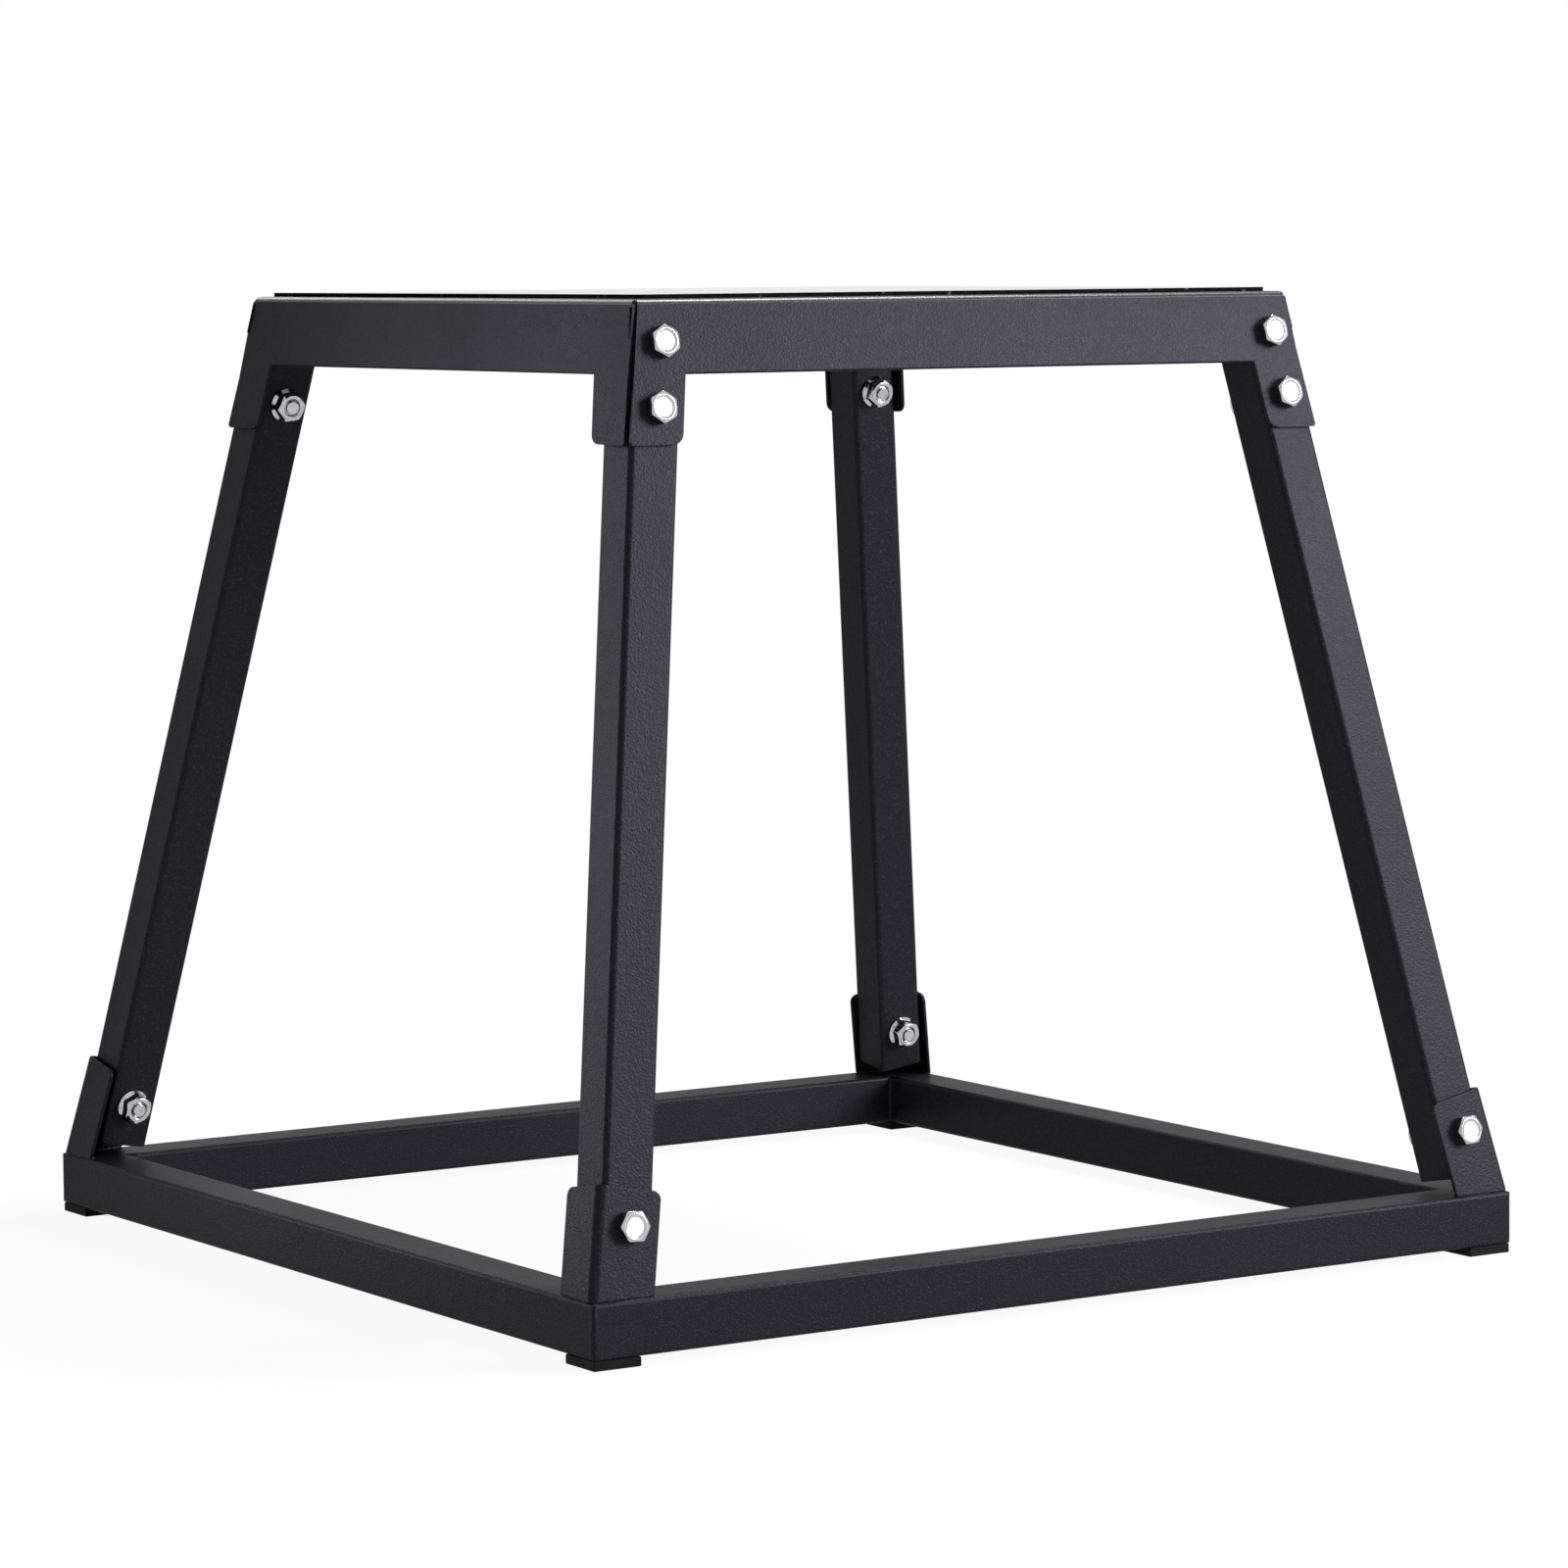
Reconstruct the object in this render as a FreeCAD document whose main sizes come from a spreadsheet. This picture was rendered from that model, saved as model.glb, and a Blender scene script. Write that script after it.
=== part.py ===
import FreeCAD, Part
import math
import os
import Sketcher

# Jump box: a folded steel platform with a rubber mat, four leaning tube legs bolted into its hanging
# tabs, and a welded tube base whose corner brackets the legs are bolted to.
# Millimetres, +Z up. The origin lies on the floor under the middle, and the front faces -Y.
# Drops are measured straight down from the top of the platform's sheet.

SIZES = (
    ("overall_height", 457.2, "floor to the top of the mat"),
    ("base_width", 509.5, "base frame over the side rails"),
    ("base_depth", 512.0, "base frame over the front and rear rails"),
    ("plate_width", 361.0, "platform between the side bends, taken to sharp edges"),
    ("plate_depth", 353.5, "platform between the front and rear bends, taken to sharp edges"),
    ("plate_thickness", 2.0, "sheet of the platform and its flanges"),
    ("plate_bend_inner", 1.2, "inside radius of the platform's bends"),
    ("apron_drop", 33.2, "lower edge of a flange between its tabs"),
    ("tab_drop", 63.7, "lower edge of the tabs"),
    ("front_tab_overlap", 1.0, "front or rear tab past the inner side of its leg"),
    ("side_tab_overlap", 4.6, "side tab past the inner side of its leg"),
    ("tab_corner_radius", 5.5, "free lower corner of a tab"),
    ("tab_tip_chamfer", 1.2, "lower corner of a tab at the hip"),
    ("relief_radius", 1.6, "round notch where two bends meet"),
    ("relief_drop", 2.3, "bottom of that notch"),
    ("seam_top_step", 0.75, "side flange's end behind the front flange's face, at the top"),
    ("seam_bottom_step", 4.25, "the same at the lower edge of the tabs"),
    ("end_inset_top", 2.15, "front flange's end back from the side flange's face, at the top"),
    ("end_inset_bottom", 1.3, "the same at the lower edge of the tabs"),
    ("mat_thickness", 1.9, "rubber mat"),
    ("mat_margin", 6.6, "bare border round the mat, to the sharp edges"),
    ("mat_corner_radius", 2.5, "corner of the mat"),
    ("leg_size", 25.0, "square tube of the legs"),
    ("leg_wall", 1.5, "wall of that tube"),
    ("leg_edge_radius", 2.6, "outer long edges of that tube"),
    ("leg_side_clearance", 0.3, "leg to the side flange"),
    ("leg_top_clearance", 0.6, "leg's upper end to the start of the platform's bend"),
    ("leg_bottom_gap", 3.4, "leg's lowest corner to the rail"),
    ("rail_size", 25.0, "square tube of the base frame"),
    ("rail_wall", 1.5, "wall of that tube"),
    ("rail_edge_radius", 2.0, "outer long edges of that tube"),
    ("base_corner_radius", 2.4, "dressed upright edge at a welded corner"),
    ("bracket_thickness", 2.0, "sheet of the base brackets"),
    ("bracket_front_wing", 31.5, "width of the bolted wing over the bend"),
    ("bracket_side_wing", 27.5, "width of the other wing over the bend"),
    ("bracket_above_bolt", 16.8, "bracket's top edge above the base bolt"),
    ("bracket_bend_inner", 2.0, "inside radius of the bracket's bend"),
    ("bracket_side_gap", 2.3, "side wing to the leg, level with the base bolt"),
    ("bracket_splay", 2.1, "degrees that the bracket leans more than its leg, about the base bolt"),
    ("bracket_corner_radius", 4.0, "free upper corner of a bracket wing"),
    ("bracket_inset_side", 3.4, "side flange's slope to the rail's outer face, at the rail's top"),
    ("bracket_inset_front", 1.4, "front flange's slope to the rail's outer face, at the rail's top"),
    ("foot_size", 24.0, "square rubber foot"),
    ("foot_height", 4.4, "thickness of the foot"),
    ("foot_inset", 0.7, "foot to the outer faces of the rails"),
    ("bolt_diameter", 8.0, "plain diameter of the bolts"),
    ("bolt_length", 35.0, "bolt under its head"),
    ("bolt_head_height", 5.3, "hexagon head"),
    ("bolt_hole_diameter", 9.0, "hole for a bolt in sheet and tube"),
    ("hex_flats", 13.0, "hexagon of heads and nuts across flats"),
    ("nut_height", 8.0, "hexagon nut"),
    ("nut_bore_clearance", 0.3, "nut's bore to the bolt, all round"),
    ("upper_bolt_drop", 21.6, "upper bolt on the leg's axis"),
    ("lower_bolt_drop", 50.4, "lower bolt on the leg's axis"),
    ("base_bolt_rise", 27.7, "base bolt on the leg's axis, above the rail's top"),
    ("cut_margin", 5.0, "how far a cutting profile runs past the metal"),
)

# What follows from the sizes. Slopes are sideways run per unit of height, and a stretch is a length
# along a slope per unit of height.
LAYOUT = (
    ("plate_top", "Sizes.overall_height - Sizes.mat_thickness"),
    ("rail_top", "Sizes.foot_height + Sizes.rail_size"),
    ("rise", "plate_top - rail_top"),
    ("side_slope", "(Sizes.base_width / 2 - Sizes.bracket_inset_side - Sizes.plate_width / 2) / rise"),
    ("front_slope", "(Sizes.base_depth / 2 - Sizes.bracket_inset_front - Sizes.plate_depth / 2) / rise"),
    ("side_stretch", "sqrt(1 + side_slope ^ 2)"),
    ("front_stretch", "sqrt(1 + front_slope ^ 2)"),
    ("axis_stretch", "sqrt(1 + side_slope ^ 2 + front_slope ^ 2)"),
    ("front_lean", "atan(front_slope)"),
    ("side_tilt", "atan(side_slope / front_stretch)"),
    ("outer_edge", "Sizes.leg_size / 2 * (axis_stretch + side_slope * front_slope) / front_stretch"),
    ("inner_edge", "Sizes.leg_size / 2 * (axis_stretch - side_slope * front_slope) / front_stretch"),
    ("side_inner", "Sizes.plate_width / 2 - Sizes.plate_thickness * side_stretch"),
    ("front_inner", "Sizes.plate_depth / 2 - Sizes.plate_thickness * front_stretch"),
    ("leg_x", "side_inner - Sizes.leg_side_clearance - outer_edge"),
    ("leg_y", "front_inner - Sizes.leg_size / 2 * front_stretch"),
    ("tab_x", "leg_x - inner_edge - Sizes.front_tab_overlap"),
    ("tab_y", "leg_y - Sizes.leg_size / 2 * front_stretch - Sizes.side_tab_overlap"),
    ("end_lift", "Sizes.leg_size / 2 * (side_slope / axis_stretch + front_slope) / front_stretch"),
    ("bend_drop", "Sizes.plate_thickness + Sizes.plate_bend_inner"),
    ("seam_spread", "(Sizes.seam_bottom_step - Sizes.seam_top_step) / Sizes.tab_drop"),
    ("seam_slope", "front_slope - seam_spread"),
    ("slot_drop", "(Sizes.plate_thickness * front_stretch - Sizes.seam_top_step) / seam_spread"),
    ("end_slope", "side_slope + (Sizes.end_inset_top - Sizes.end_inset_bottom) / Sizes.tab_drop"),
    ("leg_top_reach", "axis_stretch * (bend_drop + Sizes.leg_top_clearance + end_lift)"),
    ("leg_bottom_reach", "axis_stretch * (rise - Sizes.leg_bottom_gap - end_lift)"),
    ("upper_reach", "axis_stretch * Sizes.upper_bolt_drop"),
    ("lower_reach", "axis_stretch * Sizes.lower_bolt_drop"),
    ("base_reach", "axis_stretch * (rise - Sizes.base_bolt_rise)"),
    ("splay", "Sizes.bracket_splay * 1 deg"),
    ("hex_corner", "Sizes.hex_flats / sqrt(3)"),
)

# Each corner's name, its side (+1 at +X) and its end (+1 at the rear).
CORNERS = (
    ("front_left", -1, -1),
    ("front_right", 1, -1),
    ("rear_left", -1, 1),
    ("rear_right", 1, 1),
)
TOUCH = 1e-4

doc = FreeCAD.newDocument("jump_box")
sizes = doc.addObject("Spreadsheet::Sheet", "Sizes")
layout = doc.addObject("Spreadsheet::Sheet", "Layout")
subparts = []


def fill_sheets():
    """Write the driving sizes as plain numbers and the layout as formulas."""
    for row, (name, value, meaning) in enumerate(SIZES, 1):
        sizes.set(f"A{row}", name)
        sizes.set(f"B{row}", str(value))
        sizes.set(f"C{row}", meaning)
        sizes.setAlias(f"B{row}", name)
    doc.recompute()
    for row, (name, formula) in enumerate(LAYOUT, 1):
        layout.set(f"A{row}", name)
        layout.set(f"B{row}", "=" + formula)
        layout.setAlias(f"B{row}", name)
        doc.recompute()


def number(expression):
    """Present value of an expression, in millimetres or degrees."""
    result = sizes.evalExpression(str(expression))
    return float(getattr(result, "Value", result))


def bind(feature, **expressions):
    """Tie properties of a feature to the sheets."""
    for name, expression in expressions.items():
        feature.setExpression(name, expression)


def new_body(name, place, alone=True):
    """Start a piece. One that stands alone is a sub-part, and its label names its file."""
    body = doc.addObject("PartDesign::Body", name)
    body.Label = name
    bind(body, Placement=place)
    if alone:
        subparts.append(body)
    return body


def group(name, bodies):
    """Keep like fasteners together as one sub-part of separate solids."""
    compound = doc.addObject("Part::Compound", name)
    compound.Label = name
    compound.Links = bodies
    subparts.append(compound)


def origin_plane(body, role):
    """One of the body's own base planes."""
    for feature in body.Origin.OriginFeatures:
        if feature.Role == role:
            return feature
    raise RuntimeError(f"{body.Label} has no {role}")


def new_sketch(body, name, role, offset=None):
    """Sketch on a base plane of its body, moved by an offset placement where one is given."""
    sketch = body.newObject("Sketcher::SketchObject", f"{body.Name}_{name}")
    sketch.AttachmentSupport = [(origin_plane(body, role), "")]
    sketch.MapMode = "FlatFace"
    if offset:
        bind(sketch, AttachmentOffset=offset)
    return sketch


def dimension(sketch, constraint, expression):
    """Add a constraint and tie its value to the sheets."""
    index = sketch.addConstraint(constraint)
    sketch.setExpression(f"Constraints[{index}]", expression)


def place_point(sketch, geometry, position, x, y):
    """Fix a point of the sketch at a place given by two expressions."""
    horizontal = Sketcher.Constraint("DistanceX", -1, 1, geometry, position, number(x))
    vertical = Sketcher.Constraint("DistanceY", -1, 1, geometry, position, number(y))
    dimension(sketch, horizontal, x)
    dimension(sketch, vertical, y)


def add_arc(sketch, corner, before, after, radius):
    """Arc that rounds a corner. Returns its number, the end met first, and its two end points."""
    to_before = (before - corner).normalize()
    to_after = (after - corner).normalize()
    half = to_before.getAngle(to_after) / 2
    middle = (to_before + to_after).normalize()
    centre = corner + middle * (radius / math.sin(half))
    start = corner + to_before * (radius / math.tan(half))
    finish = corner + to_after * (radius / math.tan(half))
    turns_left = to_after.cross(to_before).z > 0
    first, last = (start, finish) if turns_left else (finish, start)
    angles = [math.atan2(point.y - centre.y, point.x - centre.x) for point in (first, last)]
    circle = Part.Circle(centre, FreeCAD.Vector(0, 0, 1), radius)
    arc = sketch.addGeometry(Part.ArcOfCircle(circle, angles[0], angles[1]), False)
    return arc, (1 if turns_left else 2), start, finish


def outline(sketch, corners):
    """Closed outline through corners (x, y, radius); a corner whose radius is None stays sharp."""
    points = [FreeCAD.Vector(number(x), number(y), 0) for x, y, radius in corners]
    arrive = list(points)
    leave = list(points)
    arcs = [None] * len(corners)
    for place, (x, y, radius) in enumerate(corners):
        if radius is None:
            continue
        before = points[place - 1]
        after = points[(place + 1) % len(points)]
        arc, first, arrive[place], leave[place] = add_arc(
            sketch, points[place], before, after, number(radius))
        arcs[place] = (arc, first)
    lines = []
    for place in range(len(points)):
        segment = Part.LineSegment(leave[place], arrive[(place + 1) % len(points)])
        lines.append(sketch.addGeometry(segment, False))
    for place, (x, y, radius) in enumerate(corners):
        before, after = lines[place - 1], lines[place]
        if radius is None:
            sketch.addConstraint(Sketcher.Constraint("Coincident", before, 2, after, 1))
            place_point(sketch, after, 1, x, y)
            continue
        arc, first = arcs[place]
        sketch.addConstraint(Sketcher.Constraint("Tangent", before, 2, arc, first))
        sketch.addConstraint(Sketcher.Constraint("Tangent", arc, 3 - first, after, 1))
        tip = sketch.addGeometry(Part.Point(points[place]), True)
        sketch.addConstraint(Sketcher.Constraint("PointOnObject", tip, 1, before))
        sketch.addConstraint(Sketcher.Constraint("PointOnObject", tip, 1, after))
        place_point(sketch, tip, 1, x, y)
        dimension(sketch, Sketcher.Constraint("Radius", arc, number(radius)), radius)


def rectangle(sketch, width, depth, radius=None):
    """Rectangle about the sketch's origin, with rounded corners where a radius is given."""
    outline(sketch, [
        (f"{across} * ({width}) / 2", f"{along} * ({depth}) / 2", radius)
        for across, along in ((-1, -1), (1, -1), (1, 1), (-1, 1))
    ])


def circle(sketch, x, y, diameter):
    """Circle at a place given by expressions."""
    centre = FreeCAD.Vector(number(x), number(y), 0)
    round_line = Part.Circle(centre, FreeCAD.Vector(0, 0, 1), number(diameter) / 2)
    index = sketch.addGeometry(round_line, False)
    place_point(sketch, index, 3, x, y)
    dimension(sketch, Sketcher.Constraint("Diameter", index, number(diameter)), diameter)


def pad(body, sketch, length, symmetric=False):
    """Grow a sketch into metal."""
    feature = body.newObject("PartDesign::Pad", f"{sketch.Name}_pad")
    feature.Profile = sketch
    feature.SideType = "Symmetric" if symmetric else "One side"
    bind(feature, Length=length)
    return feature


def pocket(body, sketch, length, symmetric=False, outward=False):
    """Cut a sketch out of the body, against the sketch's normal or along it, and make sure that it cut."""
    doc.recompute()
    before = body.Shape.Volume
    feature = body.newObject("PartDesign::Pocket", f"{sketch.Name}_pocket")
    feature.Profile = sketch
    feature.SideType = "Symmetric" if symmetric else "One side"
    feature.Reversed = outward
    bind(feature, Length=length)
    doc.recompute()
    if body.Shape.Volume > before - TOUCH:
        raise RuntimeError(f"{feature.Name} cut nothing")
    return feature


def shell(body, name, wall, open_face):
    """Hollow the body to a wall inside its faces, open at the face whose corners all pass the test."""
    doc.recompute()
    base = body.Tip
    names = [
        f"Face{index}" for index, face in enumerate(base.Shape.Faces, 1)
        if all(open_face(vertex.Point) for vertex in face.Vertexes)
    ]
    feature = body.newObject("PartDesign::Thickness", f"{body.Name}_{name}")
    feature.Base = (base, names)
    feature.Join = "Intersection"
    feature.Reversed = True
    bind(feature, Value=wall)


def dress_edges(body, name, chosen, **size):
    """Round or bevel the edges of the body whose two ends both pass the test, by a Radius or a Size."""
    doc.recompute()
    base = body.Tip
    names = [
        f"Edge{index}" for index, edge in enumerate(base.Shape.Edges, 1)
        if all(chosen(vertex.Point) for vertex in edge.Vertexes)
    ]
    if not names:
        raise RuntimeError(f"{body.Label}: no edge to dress for {name}")
    kind = "Fillet" if "Radius" in size else "Chamfer"
    feature = body.newObject(f"PartDesign::{kind}", f"{body.Name}_{name}")
    feature.Base = (base, names)
    bind(feature, **size)


def near(value, target):
    """Whether two lengths are the same."""
    return abs(value - target) < TOUCH


def placement(x, y, z, rotation="rotation(vector(0; 0; 1); 0)"):
    """Expression of a placement."""
    return f"placement(vector({x}; {y}; {z}); {rotation})"


def leg_turn(side, end):
    """Turn that sets z up along a leg and y out through its front or rear face."""
    return (
        f"rotation(vector(0; 0; 1); {90 * (1 - end)})"
        " * rotation(vector(1; 0; 0); Layout.front_lean)"
        f" * rotation(vector(0; 1; 0); {-side * end} * Layout.side_tilt)"
    )


def leg_frame(side, end):
    """Placement on a leg's axis at the level of the platform's top; see leg_turn for its axes."""
    return placement(f"{side} * Layout.leg_x", f"{end} * Layout.leg_y", "Layout.plate_top",
                     leg_turn(side, end))


def sloped(start, drop, slope):
    """Distance from the middle of a sloping line at a drop under the platform's top."""
    return f"({start} + ({drop}) * {slope})"


def make_platform():
    """Folded sheet: top, four splayed flanges with a tab at each end, stepped seams, bolt holes."""
    body = new_body("top_platform", placement(0, 0, "Layout.plate_top"))
    low = "(Sizes.tab_drop + Sizes.cut_margin)"
    fold_block(body, low)
    bottom = -number("Sizes.tab_drop")
    shell(body, "hollow", "Sizes.plate_thickness", lambda point: near(point.z, bottom))
    dress_edges(body, "outer_bend", lambda point: near(point.z, 0), Radius="Layout.bend_drop")
    underside = -number("Sizes.plate_thickness")
    dress_edges(body, "inner_bend", lambda point: near(point.z, underside), Radius="Sizes.plate_bend_inner")
    cut_windows(body, "XZ_Plane", "Layout.tab_x", "Layout.side_slope", "Layout.front_slope", low)
    cut_windows(body, "YZ_Plane", "Layout.tab_y", "Layout.front_slope", "Layout.side_slope", low)
    cut_corner_slots(body, low)
    cut_reliefs(body)
    step_seams(body, low)
    bevel_tab_tips(body)
    cut_platform_holes(body)


def fold_block(body, low):
    """Block with four sloping sides: the outside of the folded sheet."""
    front = new_sketch(body, "front_view", "XZ_Plane")
    outline(front, [
        (f"{sign} * {sloped('Sizes.plate_width / 2', drop, 'Layout.side_slope')}", f"-{drop}", None)
        for sign, drop in ((-1, "0"), (-1, "Sizes.tab_drop"), (1, "Sizes.tab_drop"), (1, "0"))
    ])
    bottom_half = sloped("Sizes.plate_depth / 2", "Sizes.tab_drop", "Layout.front_slope")
    pad(body, front, f"2 * {bottom_half}", symmetric=True)
    slopes = new_sketch(body, "slopes", "YZ_Plane")
    high = "-Sizes.cut_margin"
    for end in (-1, 1):
        outline(slopes, [
            (f"{end} * {sloped('Sizes.plate_depth / 2', run, 'Layout.front_slope')}", f"-({level})", None)
            for run, level in ((high, high), (low, low), (low, high))
        ])
    pocket(body, slopes, "4 * Sizes.plate_width", symmetric=True)


def cut_windows(body, role, start, slope, cross_slope, low):
    """Take away two opposite flanges between their tabs, which leaves the shallow apron above."""
    def corner(sign, drop, radius, flare="0"):
        return (f"{sign} * ({sloped(start, drop, slope)} + {flare})", f"-({drop})", radius)

    flare = "2 * Sizes.tab_corner_radius"
    sketch = new_sketch(body, f"window_{role[:2].lower()}", role)
    half = [
        ("Sizes.apron_drop", None, "0"),
        ("Sizes.tab_drop", "Sizes.tab_corner_radius", "0"),
        ("Sizes.tab_drop", None, flare),
        (low, None, flare),
    ]
    right = [corner(1, drop, radius, past) for drop, radius, past in half]
    left = [corner(-1, drop, radius, past) for drop, radius, past in reversed(half)]
    outline(sketch, right + left)
    span = f"4 * (Sizes.plate_width + Sizes.plate_depth + {low} * {cross_slope})"
    pocket(body, sketch, span, symmetric=True)


def cut_corner_slots(body, low):
    """Wedge at each corner between a side flange's end and the front or rear flange, wider downwards."""
    sketch = new_sketch(body, "corner_slots", "YZ_Plane")
    inner_face = ("Layout.front_inner", "Layout.front_slope")
    side_end = ("(Sizes.plate_depth / 2 - Sizes.seam_top_step)", "Layout.seam_slope")
    for end in (-1, 1):
        outline(sketch, [
            (f"{end} * {sloped(face, drop, slope)}", f"-({drop})", None)
            for drop, (face, slope) in (("Layout.slot_drop", inner_face), (low, inner_face), (low, side_end))
        ])
    pocket(body, sketch, "4 * Sizes.plate_width", symmetric=True)


def cut_reliefs(body):
    """Round notch at each upper corner, where two bends would meet."""
    sketch = new_sketch(body, "reliefs", "XY_Plane")
    for name, side, end in CORNERS:
        circle(sketch, f"{side} * Sizes.plate_width / 2", f"{end} * Sizes.plate_depth / 2",
               "2 * Sizes.relief_radius")
    pocket(body, sketch, "Sizes.relief_drop")


def bevel_tab_tips(body):
    """Bevel the lower corners of the tabs beside the hips."""
    low = -number("Sizes.tab_drop")
    hip = number(sloped("Sizes.plate_width / 2", "Sizes.tab_drop", "Layout.side_slope"))
    slot = number(sloped("Sizes.plate_depth / 2", "Sizes.tab_drop", "Layout.front_slope")
                  + " - Sizes.seam_bottom_step")
    inside = hip - number("Sizes.plate_thickness * Layout.side_stretch") - TOUCH

    def at_hip(point):
        """Front and rear tabs: their outer lower corner, through the sheet."""
        return near(point.z, low) and abs(point.x) > inside and abs(point.y) > slot + TOUCH

    def at_slot(point):
        """Side tabs: their lower corner beside the slot, through the sheet."""
        return near(point.z, low) and abs(point.x) > inside and near(abs(point.y), slot)

    dress_edges(body, "hip_tips", at_hip, Size="Sizes.tab_tip_chamfer")
    dress_edges(body, "slot_tips", at_slot, Size="Sizes.tab_tip_chamfer")


def front_sketch(body, name, step, slope):
    """Sketch on a plane as steep as given, behind the front flange's sharp upper edge by a step."""
    lean = f"rotation(vector(1; 0; 0); -atan({slope}))"
    return new_sketch(body, name, "XZ_Plane", placement(0, 0, f"Sizes.plate_depth / 2 - {step}", lean))


def repeat_at_rear(body, name, cut):
    """Mirror a cut in the front flange to the rear one."""
    mirrored = body.newObject("PartDesign::Mirrored", name)
    mirrored.Originals = [cut]
    mirrored.MirrorPlane = (origin_plane(body, "XZ_Plane"), [""])
    body.Tip = mirrored


def step_seams(body, low):
    """Cut the front and rear flanges' ends back, outside the plane in which the side flanges end."""
    sketch = front_sketch(body, "seam_steps", "Sizes.seam_top_step", "Layout.seam_slope")
    end = "Sizes.plate_width / 2 - Sizes.end_inset_top"
    past = sloped("Sizes.plate_width / 2", low, "Layout.side_slope")
    high = "-Sizes.cut_margin"
    for side in (-1, 1):
        outline(sketch, [
            (f"{side} * {across}", f"-({drop}) * sqrt(1 + Layout.seam_slope ^ 2)", None)
            for across, drop in (
                (sloped(end, high, "Layout.end_slope"), high),
                (sloped(end, low, "Layout.end_slope"), low),
                (past, low),
                (past, high),
            )
        ])
    steps = pocket(body, sketch, "Sizes.seam_bottom_step + Sizes.cut_margin", outward=True)
    repeat_at_rear(body, "rear_seam_steps", steps)


def cut_platform_holes(body):
    """Bolt holes square through the front and rear flanges."""
    sketch = front_sketch(body, "bolt_holes", 0, "Layout.front_slope")
    seat = "(Sizes.leg_size / 2 + Sizes.plate_thickness)"
    for side in (-1, 1):
        for drop in ("Sizes.upper_bolt_drop", "Sizes.lower_bolt_drop"):
            circle(sketch, f"{side} * {sloped('Layout.leg_x', drop, 'Layout.side_slope')}",
                   f"-({drop} * Layout.front_stretch - {seat} * Layout.front_slope)",
                   "Sizes.bolt_hole_diameter")
    holes = pocket(body, sketch, "2 * Sizes.plate_thickness")
    repeat_at_rear(body, "rear_bolt_holes", holes)


def make_mat():
    """Rubber mat on the platform."""
    body = new_body("top_mat", placement(0, 0, "Layout.plate_top"))
    sketch = new_sketch(body, "sheet", "XY_Plane")
    rectangle(sketch, "Sizes.plate_width - 2 * Sizes.mat_margin",
              "Sizes.plate_depth - 2 * Sizes.mat_margin", "Sizes.mat_corner_radius")
    pad(body, sketch, "Sizes.mat_thickness")


def tube_section(sketch, size, wall, edge_radius):
    """Square tube with rounded long edges."""
    rectangle(sketch, size, size, edge_radius)
    rectangle(sketch, f"{size} - 2 * {wall}", f"{size} - 2 * {wall}")


def make_leg(corner, side, end):
    """Square tube cut square at both ends, bored from front to rear for three bolts."""
    body = new_body(f"leg_{corner}", leg_frame(side, end))
    section = new_sketch(body, "section", "XY_Plane", placement(0, 0, "-Layout.leg_bottom_reach"))
    tube_section(section, "Sizes.leg_size", "Sizes.leg_wall", "Sizes.leg_edge_radius")
    pad(body, section, "Layout.leg_bottom_reach - Layout.leg_top_reach")
    holes = new_sketch(body, "holes", "XZ_Plane")
    for reach in ("upper_reach", "lower_reach", "base_reach"):
        circle(holes, "0", f"-Layout.{reach}", "Sizes.bolt_hole_diameter")
    pocket(body, holes, "2 * Sizes.leg_size", symmetric=True)


def make_bracket(corner, side, end):
    """Bent angle round the foot of a leg, cut level to stand on the rails; it turns about the base bolt."""
    hand = side * end
    splay = f"rotation(vector(0; 1; 0); {-hand} * Layout.splay)"
    frame = leg_frame(side, end) + " * " + placement(0, 0, "-Layout.base_reach", splay)
    body = new_body(f"base_bracket_{corner}", frame)
    below = "2 * Sizes.base_bolt_rise"
    section = new_sketch(body, "section", "XY_Plane", placement(0, 0, f"-{below}"))
    inside = "(Sizes.leg_size / 2 + Sizes.bracket_side_gap)"
    outside = f"({inside} + Sizes.bracket_thickness)"
    front_end = f"{hand} * ({outside} - Sizes.bracket_front_wing)"
    back = "Sizes.leg_size / 2"
    face = f"({back} + Sizes.bracket_thickness)"
    side_end = f"{face} - Sizes.bracket_side_wing"
    outline(section, [
        (f"{hand} * {outside}", face, "Sizes.bracket_bend_inner + Sizes.bracket_thickness"),
        (front_end, face, None),
        (front_end, back, None),
        (f"{hand} * {inside}", back, "Sizes.bracket_bend_inner"),
        (f"{hand} * {inside}", side_end, None),
        (f"{hand} * {outside}", side_end, None),
    ])
    pad(body, section, f"{below} + Sizes.bracket_above_bolt")
    cut_level(body, hand)
    hole = new_sketch(body, "hole", "XZ_Plane")
    circle(hole, "0", "0", "Sizes.bolt_hole_diameter")
    pocket(body, hole, "Sizes.leg_size / 2 + 2 * Sizes.bracket_thickness")
    top, wing_x, wing_y = number("Sizes.bracket_above_bolt"), number(front_end), number(side_end)

    def at_tip(point):
        """Free upper corners of the two wings, through the sheet."""
        return near(point.z, top) and (near(point.x, wing_x) or near(point.y, wing_y))

    dress_edges(body, "corners", at_tip, Radius="Sizes.bracket_corner_radius")


def cut_level(body, hand):
    """Cut a bracket off level with the top of the rails, the base bolt's rise under its own origin."""
    block = body.newObject("PartDesign::SubtractiveBox", f"{body.Name}_level")
    size = "8 * Sizes.base_bolt_rise"
    upright = (f"rotation(vector(0; 1; 0); {hand} * (Layout.side_tilt + Layout.splay))"
               " * rotation(vector(1; 0; 0); -Layout.front_lean)")
    corner = placement(f"-{size} / 2", f"-{size} / 2", f"-{size} - Sizes.base_bolt_rise")
    bind(block, Length=size, Width=size, Height=size,
         Placement=placement(0, 0, 0, upright) + " * " + corner)


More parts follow.
